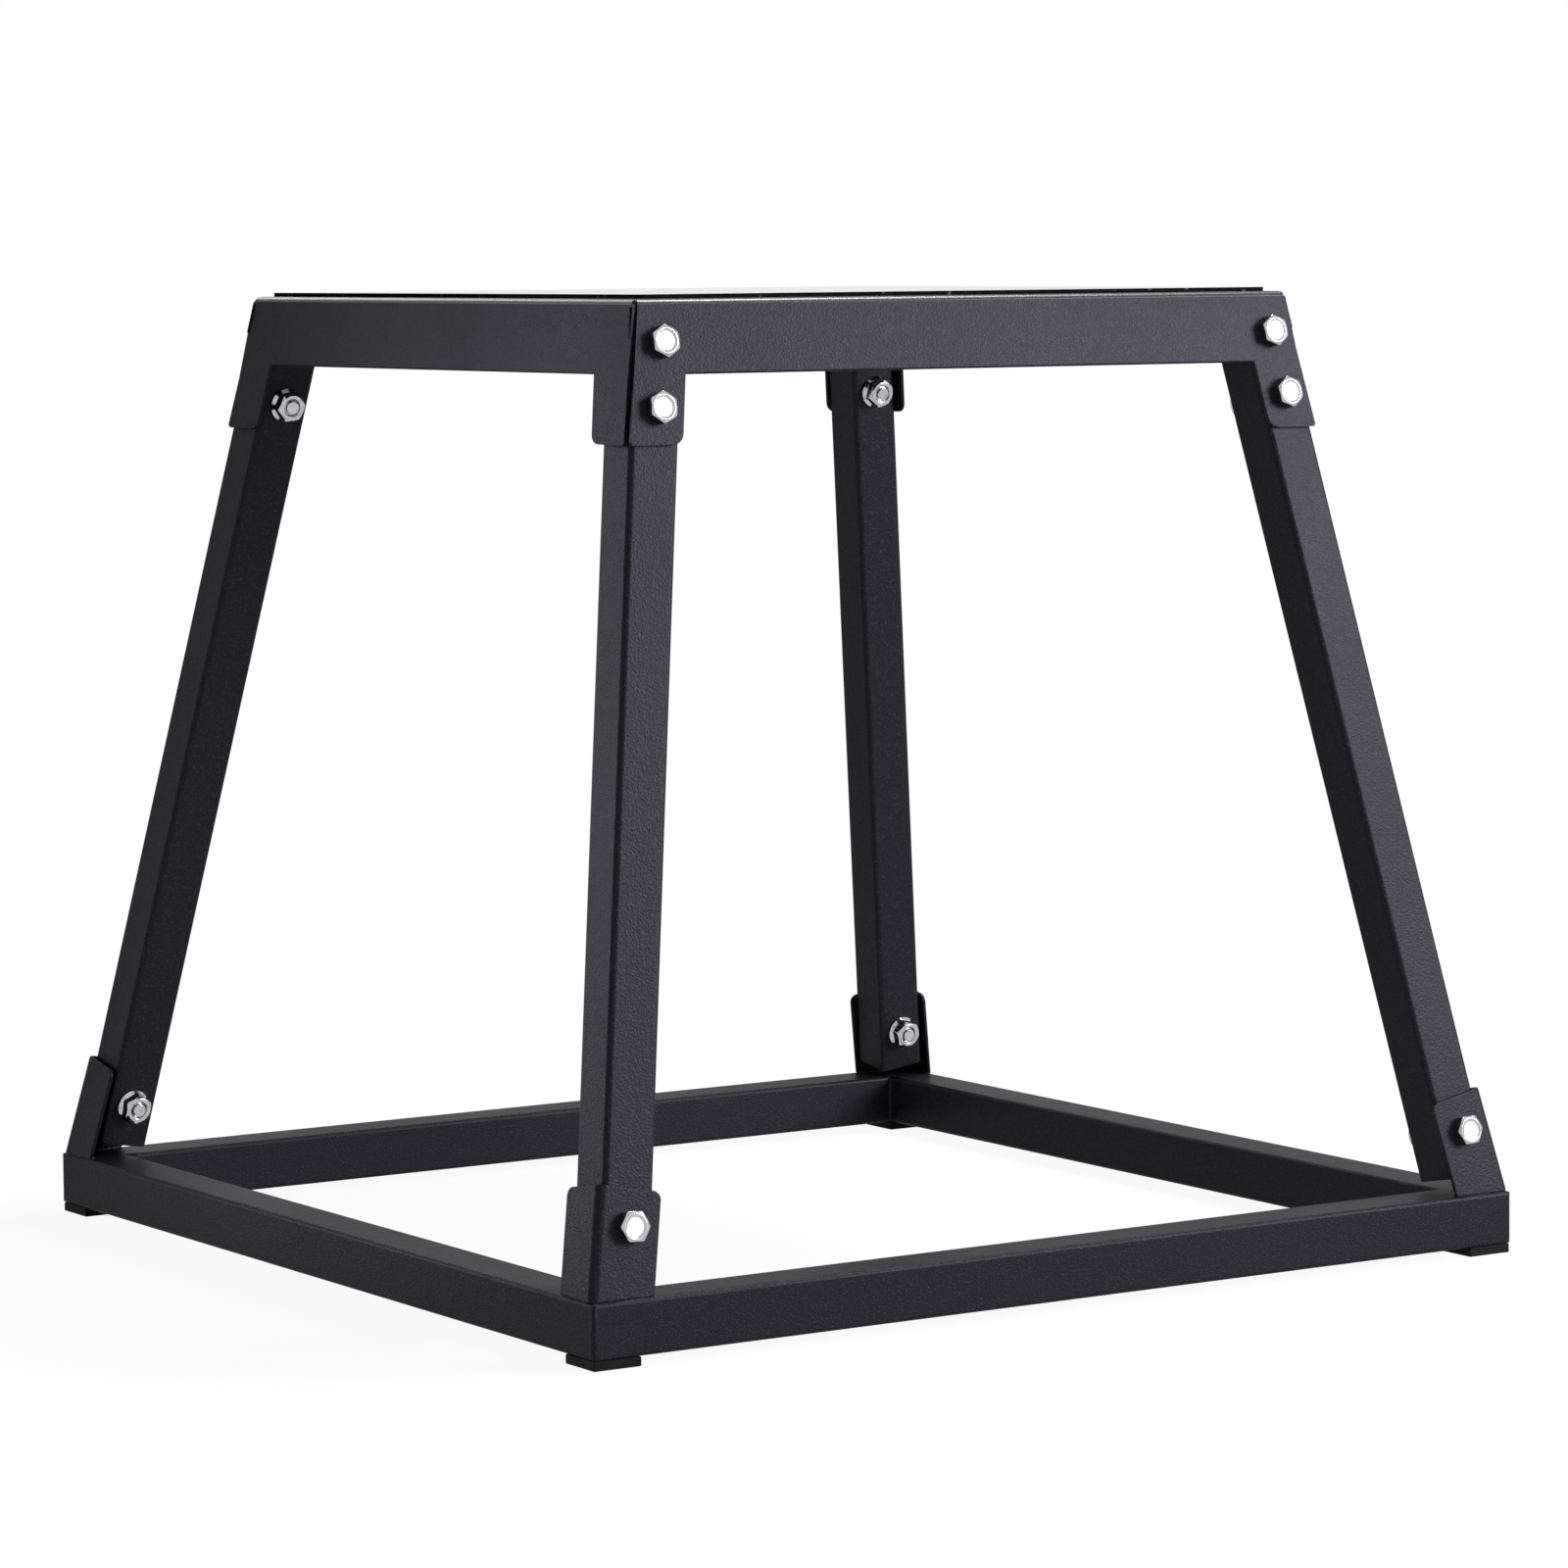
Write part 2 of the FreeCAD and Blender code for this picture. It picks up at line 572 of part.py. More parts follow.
def make_rail(name, length, other, heading):
    """Mitred square tube of the base; in its own frame it runs along x with its outer face at +y."""
    middle = f"({other}) / 2 - Sizes.rail_size / 2"
    place = (f"placement(vector(0; 0; Sizes.foot_height + Sizes.rail_size / 2);"
             f" rotation(vector(0; 0; 1); {heading})) * " + placement(0, middle, 0))
    body = new_body(name, place)
    section = new_sketch(body, "section", "YZ_Plane")
    tube_section(section, "Sizes.rail_size", "Sizes.rail_wall", "Sizes.rail_edge_radius")
    pad(body, section, length, symmetric=True)
    face = "Sizes.rail_size / 2"
    past = "Sizes.cut_margin"
    mitres = new_sketch(body, "mitres", "XY_Plane")
    rounds = new_sketch(body, "rounds", "XY_Plane")
    for side in (-1, 1):
        tip = f"{side} * ({length}) / 2"
        outline(mitres, [
            (f"{tip} + {side} * {past}", f"{face} + {past}", None),
            (f"{tip} + {side} * {past}", f"-{face} - {past}", None),
            (f"{tip} - {side} * (Sizes.rail_size + {past})", f"-{face} - {past}", None),
        ])
        run = f"{side} * 2 * Sizes.base_corner_radius"
        outline(rounds, [
            (f"{tip} - {run}", face, None),
            (tip, face, "Sizes.base_corner_radius"),
            (tip, f"{face} - 2 * Sizes.base_corner_radius", None),
            (f"{tip} + {side} * {past}", f"{face} - 2 * Sizes.base_corner_radius", None),
            (f"{tip} + {side} * {past}", f"{face} + {past}", None),
            (f"{tip} - {run}", f"{face} + {past}", None),
        ])
    pocket(body, mitres, "2 * Sizes.rail_size", symmetric=True)
    pocket(body, rounds, "2 * Sizes.rail_size", symmetric=True)


def make_foot(corner, side, end):
    """Square rubber pad under a corner of the base."""
    def place(sign, span):
        return f"{sign} * (Sizes.{span} / 2 - Sizes.foot_inset - Sizes.foot_size / 2)"

    body = new_body(f"foot_{corner}", placement(place(side, "base_width"), place(end, "base_depth"), 0))
    sketch = new_sketch(body, "square", "XY_Plane")
    rectangle(sketch, "Sizes.foot_size", "Sizes.foot_size")
    pad(body, sketch, "Sizes.foot_height")


def hexagon(body, height):
    """Hexagon of a head or nut standing on the xy plane."""
    sketch = new_sketch(body, "hexagon", "XY_Plane")
    outline(sketch, [
        (f"Layout.hex_corner * cos({angle} deg)", f"Layout.hex_corner * sin({angle} deg)", None)
        for angle in range(0, 360, 60)
    ])
    pad(body, sketch, height)


def make_bolt(name, frame, seat, reach):
    """Hexagon bolt: z points out of the head, and z = 0 is the seat on the sheet."""
    head_out = "rotation(vector(1; 0; 0); -90)"
    body = new_body(name, frame + " * " + placement(0, seat, f"-{reach}", head_out), alone=False)
    hexagon(body, "Sizes.bolt_head_height")
    shank = new_sketch(body, "shank", "XY_Plane", placement(0, 0, "-Sizes.bolt_length"))
    circle(shank, "0", "0", "Sizes.bolt_diameter")
    pad(body, shank, "Sizes.bolt_length")
    return body


def make_nut(name, frame, reach):
    """Hexagon nut on the leg's inner face: z points away from the leg."""
    away = "rotation(vector(1; 0; 0); 90)"
    place = frame + " * " + placement(0, "-Sizes.leg_size / 2", f"-{reach}", away)
    body = new_body(name, place, alone=False)
    hexagon(body, "Sizes.nut_height")
    bore = new_sketch(body, "bore", "XY_Plane")
    circle(bore, "0", "0", "Sizes.bolt_diameter + 2 * Sizes.nut_bore_clearance")
    pocket(body, bore, "4 * Sizes.nut_height", symmetric=True)
    return body


def make_fasteners(corner, side, end):
    """Two bolts through the platform's flange and one through the base bracket, each with its nut."""
    frame = leg_frame(side, end)
    bolts = []
    nuts = []
    for place, sheet in (("upper", "plate"), ("lower", "plate"), ("base", "bracket")):
        reach = f"Layout.{place}_reach"
        seat = f"Sizes.leg_size / 2 + Sizes.{sheet}_thickness"
        bolts.append(make_bolt(f"bolt_{corner}_{place}", frame, seat, reach))
        nuts.append(make_nut(f"nut_{corner}_{place}", frame, reach))
    group(f"bolts_{corner}", bolts)
    group(f"nuts_{corner}", nuts)


def check_and_export():
    """Refuse a failed feature or a broken solid, then write every sub-part."""
    doc.recompute()
    for item in doc.Objects:
        if "Invalid" in item.State or "Error" in item.State:
            raise RuntimeError(f"{item.Name} failed: {item.State}")
    for piece in subparts:
        shape = piece.Shape
        pieces = len(getattr(piece, "Links", [piece]))
        if shape.isNull() or not shape.isValid() or len(shape.Solids) != pieces:
            raise RuntimeError(f"{piece.Label} is not made of {pieces} valid solids")
    os.makedirs("parts", exist_ok=True)
    for piece in subparts:
        piece.Shape.exportStep(f"parts/{piece.Label}.step")
        print(f"{piece.Label}: {piece.Shape.Volume / 1000:.2f} cm3")


fill_sheets()
make_platform()
make_mat()
for corner, side, end in CORNERS:
    make_leg(corner, side, end)
    make_bracket(corner, side, end)
    make_foot(corner, side, end)
    make_fasteners(corner, side, end)
for name, length, other, heading in (
    ("base_rail_rear", "Sizes.base_width", "Sizes.base_depth", 0),
    ("base_rail_left", "Sizes.base_depth", "Sizes.base_width", 90),
    ("base_rail_front", "Sizes.base_width", "Sizes.base_depth", 180),
    ("base_rail_right", "Sizes.base_depth", "Sizes.base_width", 270),
):
    make_rail(name, length, other, heading)
check_and_export()
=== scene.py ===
# %% [markdown]
# # A steel jump box
# The box is an open frame: a folded sheet platform under a rubber mat, four leaning legs of square
# tube, and a welded square base on rubber feet, held together by zinc-plated bolts and nuts. The packed
# model is a fixed frame with every piece in its place, in metres. This lesson measures that frame and
# dresses each piece: soft edges, real fasteners, weld beads and painted, plated and rubber finishes.

# %% Load the frame
import math
import random

import bmesh
import bpy
import numpy as np
from mathutils import Matrix, Vector


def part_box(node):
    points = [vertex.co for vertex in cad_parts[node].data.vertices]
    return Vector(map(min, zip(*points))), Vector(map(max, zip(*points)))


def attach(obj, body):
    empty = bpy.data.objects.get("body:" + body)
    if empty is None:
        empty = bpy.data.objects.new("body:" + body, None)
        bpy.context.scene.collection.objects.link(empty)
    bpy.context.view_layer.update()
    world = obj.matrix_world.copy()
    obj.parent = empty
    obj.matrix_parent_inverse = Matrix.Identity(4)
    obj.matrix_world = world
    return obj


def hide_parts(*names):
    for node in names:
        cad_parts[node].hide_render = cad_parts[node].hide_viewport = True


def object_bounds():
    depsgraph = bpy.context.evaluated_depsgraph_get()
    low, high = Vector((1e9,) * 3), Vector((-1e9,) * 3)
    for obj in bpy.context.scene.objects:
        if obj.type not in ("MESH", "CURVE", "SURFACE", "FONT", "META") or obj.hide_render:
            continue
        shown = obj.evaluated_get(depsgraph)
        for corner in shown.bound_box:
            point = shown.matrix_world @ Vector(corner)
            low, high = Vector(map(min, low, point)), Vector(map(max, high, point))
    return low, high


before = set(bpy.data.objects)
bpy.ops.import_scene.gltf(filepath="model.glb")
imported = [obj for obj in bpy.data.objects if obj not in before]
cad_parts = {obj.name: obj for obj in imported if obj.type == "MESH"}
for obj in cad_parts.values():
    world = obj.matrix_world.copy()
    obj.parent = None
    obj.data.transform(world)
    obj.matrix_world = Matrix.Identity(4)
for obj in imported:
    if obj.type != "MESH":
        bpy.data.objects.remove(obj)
cad_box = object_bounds()
MM = 0.001
CORNERS = ("front_left", "front_right", "rear_left", "rear_right")
print("frame:", len(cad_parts), "nodes, box", [round(float(x), 4) for x in (*cad_box[0], *cad_box[1])])

# %% [markdown]
# ## Camera
# The picture was taken from just above the platform's height with a long lens, so the near and far
# edges almost run level. The camera could be placed by eye, but a camera that is solved from the square
# base is exact, so its place, its three turns and its focal length in pixels are written down here.

# %% Camera
EYE = Vector((-1.5057, -2.3247, 0.4762))
YAW = math.radians(33.13)
PITCH = math.radians(-5.31)
ROLL = -0.00738
FOCAL_PIXELS = 5863
IMAGE_PIXELS = 1600


def add_camera():
    """Camera whose axes are worked out from its turns: across, upwards and backwards."""
    ahead = Vector((math.sin(YAW) * math.cos(PITCH), math.cos(YAW) * math.cos(PITCH), math.sin(PITCH)))
    level = Vector((math.cos(YAW), -math.sin(YAW), 0))
    upright = level.cross(ahead)
    across = level * math.cos(ROLL) + upright * math.sin(ROLL)
    upwards = upright * math.cos(ROLL) - level * math.sin(ROLL)
    lens = bpy.data.cameras.new("camera")
    lens.sensor_width = 36
    lens.lens = lens.sensor_width * FOCAL_PIXELS / IMAGE_PIXELS
    camera = bpy.data.objects.new("camera", lens)
    camera.matrix_world = Matrix.Translation(EYE) @ Matrix((across, upwards, -ahead)).transposed().to_4x4()
    bpy.context.scene.collection.objects.link(camera)
    bpy.context.scene.camera = camera
    return camera


print("lens:", round(add_camera().data.lens, 1), "mm")

# %% [markdown]
# ## Shader arithmetic
# Node trees get long when every sum is three lines of wiring. A small class can hold one output and
# turn Python's own operators into Math nodes, so that `0.4 + 0.1 * grain` reads as what it does. One
# method adds every other kind of node: its settings first, then numbers or wires into its sockets.

# %% Wires between shader nodes


class Wire:
    """One output of a shader node. Arithmetic on it adds Math nodes."""

    def __init__(self, tree, output=None):
        self.tree = tree
        self.output = output

    def node(self, kind, settings, inputs, output=0):
        """Add a node, set it up, feed its sockets by name or number, and wire on from an output."""
        made = self.tree.nodes.new(kind)
        for name, value in settings.items():
            setattr(made, name, value)
        for name, value in inputs.items():
            if isinstance(value, Wire):
                self.tree.links.new(value.output, made.inputs[name])
            else:
                made.inputs[name].default_value = value
        return Wire(self.tree, made.outputs[output])

    def maths(self, operation, first, second):
        return self.node("ShaderNodeMath", {"operation": operation}, {0: first, 1: second})

    def __add__(self, other):
        return self.maths("ADD", self, other)

    def __radd__(self, other):
        return self.maths("ADD", other, self)

    def __sub__(self, other):
        return self.maths("SUBTRACT", self, other)

    def __rsub__(self, other):
        return self.maths("SUBTRACT", other, self)

    def __mul__(self, other):
        return self.maths("MULTIPLY", self, other)

    def __rmul__(self, other):
        return self.maths("MULTIPLY", other, self)


def new_finish(name, **constants):
    """Material with a Principled shader, its constant sockets set, and a wire with the place on it."""
    finish = bpy.data.materials.new(name)
    finish.use_nodes = True
    shader = finish.node_tree.nodes["Principled BSDF"]
    for socket, value in constants.items():
        shader.inputs[socket.replace("_", " ")].default_value = value
    return finish, shader, Wire(finish.node_tree).node("ShaderNodeTexCoord", {}, {}, "Object")


def feed(shader, socket, wire):
    """Wire a value that varies over the surface into a shader."""
    wire.tree.links.new(wire.output, shader.inputs[socket])


def between(factor, low, high):
    """Colour that goes from low to high with a factor."""
    return factor.node("ShaderNodeMix", {"data_type": "RGBA"}, {0: factor, 6: low, 7: high}, 2)


def stepped(wire, low, high):
    """Soft step: 0 under the low value, 1 over the high one."""
    return wire.node("ShaderNodeMapRange", {"interpolation_type": "SMOOTHSTEP"},
                     {"Value": wire, "From Min": low, "From Max": high})


def noise(place, size, detail=2.0, roughness=0.5):
    """Noise whose grains are about this size in metres."""
    return place.node("ShaderNodeTexNoise", {},
                      {"Vector": place, "Scale": 1 / size, "Detail": detail, "Roughness": roughness})


def bump(height, depth):
    """Normal that is tilted by a height from 0 to 1, which stands for a real depth."""
    return height.node("ShaderNodeBump", {}, {"Strength": 1.0, "Distance": depth, "Height": height})


print("shader arithmetic ready")

# %% [markdown]
# ## Powder coat
# The steel is charcoal powder coat: a dry powder that is baked on and flows into a fine, sandy skin. A
# flat black with a gloss value would look like plastic film. Here one noise at the size of the powder's
# grain tilts the surface and lightens its peaks, a second gives the slow waves that baking leaves, and
# a third varies the gloss over hand-sized patches, as handling does. A small, even share of gloss is
# mixed in, because this skin hardly gets shinier where it is seen edge-on. A mesh can mark its faces
# for it: with bend, where the powder flowed smooth and shines, and with a second mark where the gloss is
# left out, so that those faces come out darker as painted shade.

# %% Powder coat
COAT_DARK = (0.0060, 0.0058, 0.0071, 1)
COAT_PEAK = (0.018, 0.0173, 0.0215, 1)
GLOSS_TINT = (0.87, 0.85, 1, 1)
GLOSS_SHARE = 0.0074
BEND_GLOSS = 0.5
GRAIN_SIZE = 1.0 * MM
GRAIN_DEPTH = 0.28 * MM
WAVE_SIZE = 7 * MM
HANDLING_SIZE = 90 * MM


def face_mark(place, name):
    """Mark of this name on the faces of a mesh, and 0 where the mesh has none."""
    return place.node("ShaderNodeAttribute", {"attribute_name": name}, {}, "Fac")


def powder_coat():
    """Dark, sandy skin with an even share of gloss."""
    finish, shader, place = new_finish("powder_coat", Specular_IOR_Level=0.02, Specular_Tint=GLOSS_TINT,
                                       Coat_Roughness=0.3)
    grain = noise(place, GRAIN_SIZE, 2, 0.5)
    waves = noise(place, WAVE_SIZE, 1)
    handling = noise(place, HANDLING_SIZE, 4)
    peaks = stepped(grain, 0.52, 0.72)
    roughness = 0.34 + 0.12 * handling + 0.05 * waves
    normal = bump(0.8 * grain + 0.2 * waves, GRAIN_DEPTH)
    feed(shader, "Base Color", between(peaks, COAT_DARK, COAT_PEAK))
    feed(shader, "Roughness", roughness)
    feed(shader, "Normal", normal)
    feed(shader, "Coat Weight", BEND_GLOSS * face_mark(place, "bend"))
    skin = Wire(place.tree, shader.outputs["BSDF"])
    gloss = place.node("ShaderNodeBsdfGlossy", {},
                       {"Color": GLOSS_TINT, "Roughness": roughness, "Normal": normal})
    # painted shade: faces with this mark lose their share of gloss and come out darker, in place of the
    # shade under and inside the flanges
    share = GLOSS_SHARE * (1 - face_mark(place, "dull"))
    both = place.node("ShaderNodeMixShader", {}, {0: share, 1: skin, 2: gloss})
    place.tree.links.new(both.output, place.tree.nodes["Material Output"].inputs["Surface"])
    return finish


COAT = powder_coat()
print("finish:", COAT.name)

# %% [markdown]
# ## Zinc, rubber mat and rubber feet
# The bolts and nuts are bright zinc plate: a metal with a faint haze and tumbling marks. The mat is
# crumb rubber, black granules pressed together with a few grey ones, so cells of a Voronoi texture give
# both the granules' outlines and each one's shade. A clear skin with an index just over one mirrors
# only where it is seen edge-on, so from the camera's height the mat's top melts into the white behind
# it, and from above it stays dark. The feet are moulded rubber, matt and warm black.

# %% Zinc
ZINC_BRIGHT = (0.48, 0.48, 0.49, 1)
ZINC_DULL = (0.33, 0.33, 0.345, 1)


def zinc_plate():
    """Bright metal with a faint haze and tumbling marks."""
    finish, shader, place = new_finish("zinc_plate", Metallic=1.0)
    haze = noise(place, 3 * MM, 3, 0.6)
    marks = noise(place, 0.25 * MM, 2)
    feed(shader, "Base Color", between(stepped(haze, 0.45, 0.8), ZINC_BRIGHT, ZINC_DULL))
    feed(shader, "Roughness", 0.06 + 0.10 * haze + 0.04 * marks)
    feed(shader, "Normal", bump(marks, 0.004 * MM))
    return finish


ZINC = zinc_plate()
print("finish:", ZINC.name)

# %% Rubbers
CRUMB_BLACK = (0.004, 0.004, 0.0045, 1)
CRUMB_WORN = (0.012, 0.012, 0.013, 1)
CRUMB_FLECK = (0.075, 0.075, 0.078, 1)
CRUMB_SIZE = 1.9 * MM
SKIN_INDEX = 1.012
FOOT_BLACK = (0.0040, 0.0040, 0.0042, 1)
FOOT_DUSTY = (0.0090, 0.0088, 0.0086, 1)


def crumb_rubber():
    """Black granules with a few grey ones, under a skin that mirrors edge-on."""
    finish, shader, place = new_finish("crumb_rubber", Specular_IOR_Level=0.0, Coat_Weight=1.0,
                                       Coat_IOR=SKIN_INDEX, Coat_Roughness=0.03)
    granules = {"Vector": place, "Scale": 1 / CRUMB_SIZE}
    cells = place.node("ShaderNodeTexVoronoi", {}, granules, "Distance")
    shades = place.node("ShaderNodeTexVoronoi", {}, granules, "Color")
    shade = place.node("ShaderNodeSeparateColor", {}, {"Color": shades}, "Red")
    pores = noise(place, 0.6 * MM, 3)
    worn = between(0.7 * shade, CRUMB_BLACK, CRUMB_WORN)
    fleck = stepped(shade, 0.968, 0.976)
    feed(shader, "Base Color", between(fleck, worn, CRUMB_FLECK))
    feed(shader, "Roughness", 0.6 + 0.2 * pores)
    feed(shader, "Normal", bump(0.3 * pores - cells, 0.12 * MM))
    return finish


def foot_rubber():
    """Matt moulded rubber with some dust."""
    finish, shader, place = new_finish("foot_rubber", Specular_IOR_Level=0.08)
    grain = noise(place, 0.5 * MM, 3)
    dust = noise(place, 9 * MM, 4)
    feed(shader, "Base Color", between(stepped(dust, 0.4, 0.8), FOOT_BLACK, FOOT_DUSTY))
    feed(shader, "Roughness", 0.66 + 0.2 * dust)
    feed(shader, "Normal", bump(grain, 0.05 * MM))
    return finish


CRUMB = crumb_rubber()
FOOT = foot_rubber()
print("finishes:", CRUMB.name, FOOT.name)

# %% [markdown]
# ## From a frame node to a dressed piece
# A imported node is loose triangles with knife-sharp edges. The paint on a real edge is never sharp, and
# its thin round is what catches the light. So each steel piece is a copy of its node: doubles merged,
# flat triangles joined to whole faces, and the sharp outer edges rounded by a bevel of less than a
# millimetre. Normals weighted by area keep the flats flat and let only the rounds shade softly.

# %% Helpers for dressed copies
MERGE = 0.002 * MM
FLAT = math.radians(0.5)
SHARP = math.radians(28)
CREASE = math.radians(35)
FLAT_WEIGHT = 90
FACING = math.cos(math.radians(20))


def solid_copy(node):
    """Merged copy of a node's mesh with whole flat faces."""
    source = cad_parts[node].data
    solid = bmesh.new()
    points = [solid.verts.new(vertex.co) for vertex in source.vertices]
    for triangle in source.polygons:
        solid.faces.new([points[index] for index in triangle.vertices])
    bmesh.ops.remove_doubles(solid, verts=solid.verts, dist=MERGE)
    bmesh.ops.dissolve_limit(solid, angle_limit=FLAT, verts=solid.verts, edges=solid.edges)
    return solid


def round_edges(solid, width, chosen=lambda edge: True, clamp=False):
    """Bevel the sharp outward edges that pass a test."""
    edges = [
        edge for edge in solid.edges
        if edge.is_manifold and edge.is_convex and edge.calc_face_angle() > SHARP and chosen(edge)
    ]
    bmesh.ops.bevel(solid, geom=edges, offset=width, offset_type="OFFSET", segments=2, profile=0.5,
                    affect="EDGES", clamp_overlap=clamp)
    return len(edges)


def plain_mesh(piece):
    """Replace a piece's mesh by what its modifiers make of it, and drop the modifiers."""
    graph = bpy.context.evaluated_depsgraph_get()
    made = bpy.data.meshes.new_from_object(piece.evaluated_get(graph))
    piece.modifiers.clear()
    piece.data = made
    made.name = piece.name


def new_piece(name, solid, finish):
    """Object from a bmesh, softly shaded with area-weighted normals, in one finish."""
    mesh = bpy.data.meshes.new(name)
    solid.to_mesh(mesh)
    solid.free()
    mesh.materials.append(finish)
    mesh.shade_smooth()
    mesh.set_sharp_from_angle(angle=CREASE)
    piece = bpy.data.objects.new(name, mesh)
    bpy.context.scene.collection.objects.link(piece)
    weighting = piece.modifiers.new("flat_faces_stay_flat", "WEIGHTED_NORMAL")
    weighting.weight = FLAT_WEIGHT
    weighting.keep_sharp = True
    plain_mesh(piece)
    return piece


def settle(piece, slot, *nodes):
    """Let a piece ride on the frame in the place of its nodes."""
    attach(piece, "root")
    if nodes:
        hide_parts(*nodes)
    return piece


def measure_face(node, direction):
    """Normal of a node's largest flat face that looks about this way, and how far out that face lies."""
    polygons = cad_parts[node].data.polygons
    facing = [face for face in polygons if face.normal.dot(direction.normalized()) > FACING]
    widest = max(facing, key=lambda face: face.area)
    return widest.normal.copy(), widest.normal.dot(widest.center)


print("helpers ready")

# %% [markdown]
# ## Platform
# The platform is one sheet, cut flat and folded down on four sides, with a tab at each end of each
# flange. It could be folded again here from its outline, but the frame already has every bend, slot and
# hole in its place. Only the hips, where two flanges meet, keep their sharp edges: the notch and the slot
# there are finer than the paint's own round. Two marks on its faces tell the finish which of them shine,
# and which get painted shade by losing their gloss.

# %% Platform
SHEET_ROUND = 0.95 * MM
HIP_REACH = 7 * MM
BEND_DROP = 5 * MM
FLANGE_DROP = 10 * MM
FLANGE_LENGTH = 150 * MM
BEND_TILTS = (0.25, 0.97)
UNDER_TILT = -0.1
LEAN = 0.18
plate_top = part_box("top_mat")[0].z
side_face = measure_face("top_platform", Vector((1, 0, LEAN)))
rear_face = measure_face("top_platform", Vector((0, 1, LEAN)))


def at_hip(vertex):
    """Whether a point lies close to a corner where two flanges meet."""
    mirrored = Vector(map(abs, vertex.co))
    return all(reach - normal.dot(mirrored) < HIP_REACH for normal, reach in (side_face, rear_face))


def off_hip(edge):
    """Whether an edge keeps clear of the hips."""
    return not any(at_hip(vertex) for vertex in edge.verts)


def mark_faces(solid):
    """Mark the bends round the top as shiny, and the lower ends and inner sides of the flanges for painted
    shade: they lose their gloss and come out darker.
    """
    bend = solid.faces.layers.float.new("bend")
    dull = solid.faces.layers.float.new("dull")
    for face in solid.faces:
        drop = plate_top - face.calc_center_median().z
        longest = max(edge.calc_length() for edge in face.edges)
        face[bend] = BEND_TILTS[0] < face.normal.z < BEND_TILTS[1] and drop < BEND_DROP
        # painted shade: faces that look downwards, low on the long flanges
        face[dull] = face.normal.z < UNDER_TILT and drop > FLANGE_DROP and longest > FLANGE_LENGTH


sheet = solid_copy("top_platform")
count = round_edges(sheet, SHEET_ROUND, off_hip)
mark_faces(sheet)
platform = settle(new_piece("platform_sheet", sheet, COAT), "powder_coat", "top_platform")
print("platform:", count, "edges rounded,", len(platform.data.polygons), "faces")

# %% [markdown]
# ## Legs, base rails and brackets
# The legs and rails are welded square tube with round long edges, and the brackets are bent strip. The
# same copy serves all three. The rails' mitred ends stay sharp, because the weld there is ground flush
# and painted over: two flush ends with no bevel shade as one unbroken surface.

# %% Legs and brackets
TUBE_ROUND = 0.25 * MM
STRIP_ROUND = 0.75 * MM
for corner in CORNERS:
    tube = solid_copy(f"leg_{corner}")
    count = round_edges(tube, TUBE_ROUND)
    leg = settle(new_piece(f"leg_tube_{corner}", tube, COAT), "powder_coat", f"leg_{corner}")
    strip = solid_copy(f"base_bracket_{corner}")
    count += round_edges(strip, STRIP_ROUND)
    settle(new_piece(f"bracket_strip_{corner}", strip, COAT), "powder_coat", f"base_bracket_{corner}")
    print(corner, "leg and bracket:", count, "edges rounded,", len(leg.data.polygons), "faces on the leg")

# %% Base rails
rail_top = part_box("base_rail_front")[1].z
rail_size = rail_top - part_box("base_rail_front")[0].z
base_reach = cad_box[1]
for side in ("front", "rear", "left", "right"):
    rail = settle(new_piece(f"rail_tube_{side}", solid_copy(f"base_rail_{side}"), COAT),
                  "powder_coat", f"base_rail_{side}")
    print("rail", side, len(rail.data.polygons), "faces")

# %% [markdown]
# ## Weld beads
# The sheet's corner seams, the rails' inner corners and the brackets are welded from inside, where the
# bead doesn't show from the front. A weld bead is a row of overlapping puddles, so Geometry Nodes lay
# round drops of a little varied size along each seam, with width, step and seed as inputs, and paint covers
# them.

# %% Bead tree


def link(tree, source, output, target, socket):
    """Join one node's output to another one's socket."""
    tree.links.new(source.outputs[output], target.inputs[socket])


def add_sockets(tree, inputs):
    """Named inputs of a geometry tree, and its one geometry output."""
    for name, kind in inputs:
        tree.interface.new_socket(name, in_out="INPUT", socket_type=f"NodeSocket{kind}")
    tree.interface.new_socket("Geometry", in_out="OUTPUT", socket_type="NodeSocketGeometry")
    return tree.nodes.new("NodeGroupInput"), tree.nodes.new("NodeGroupOutput")


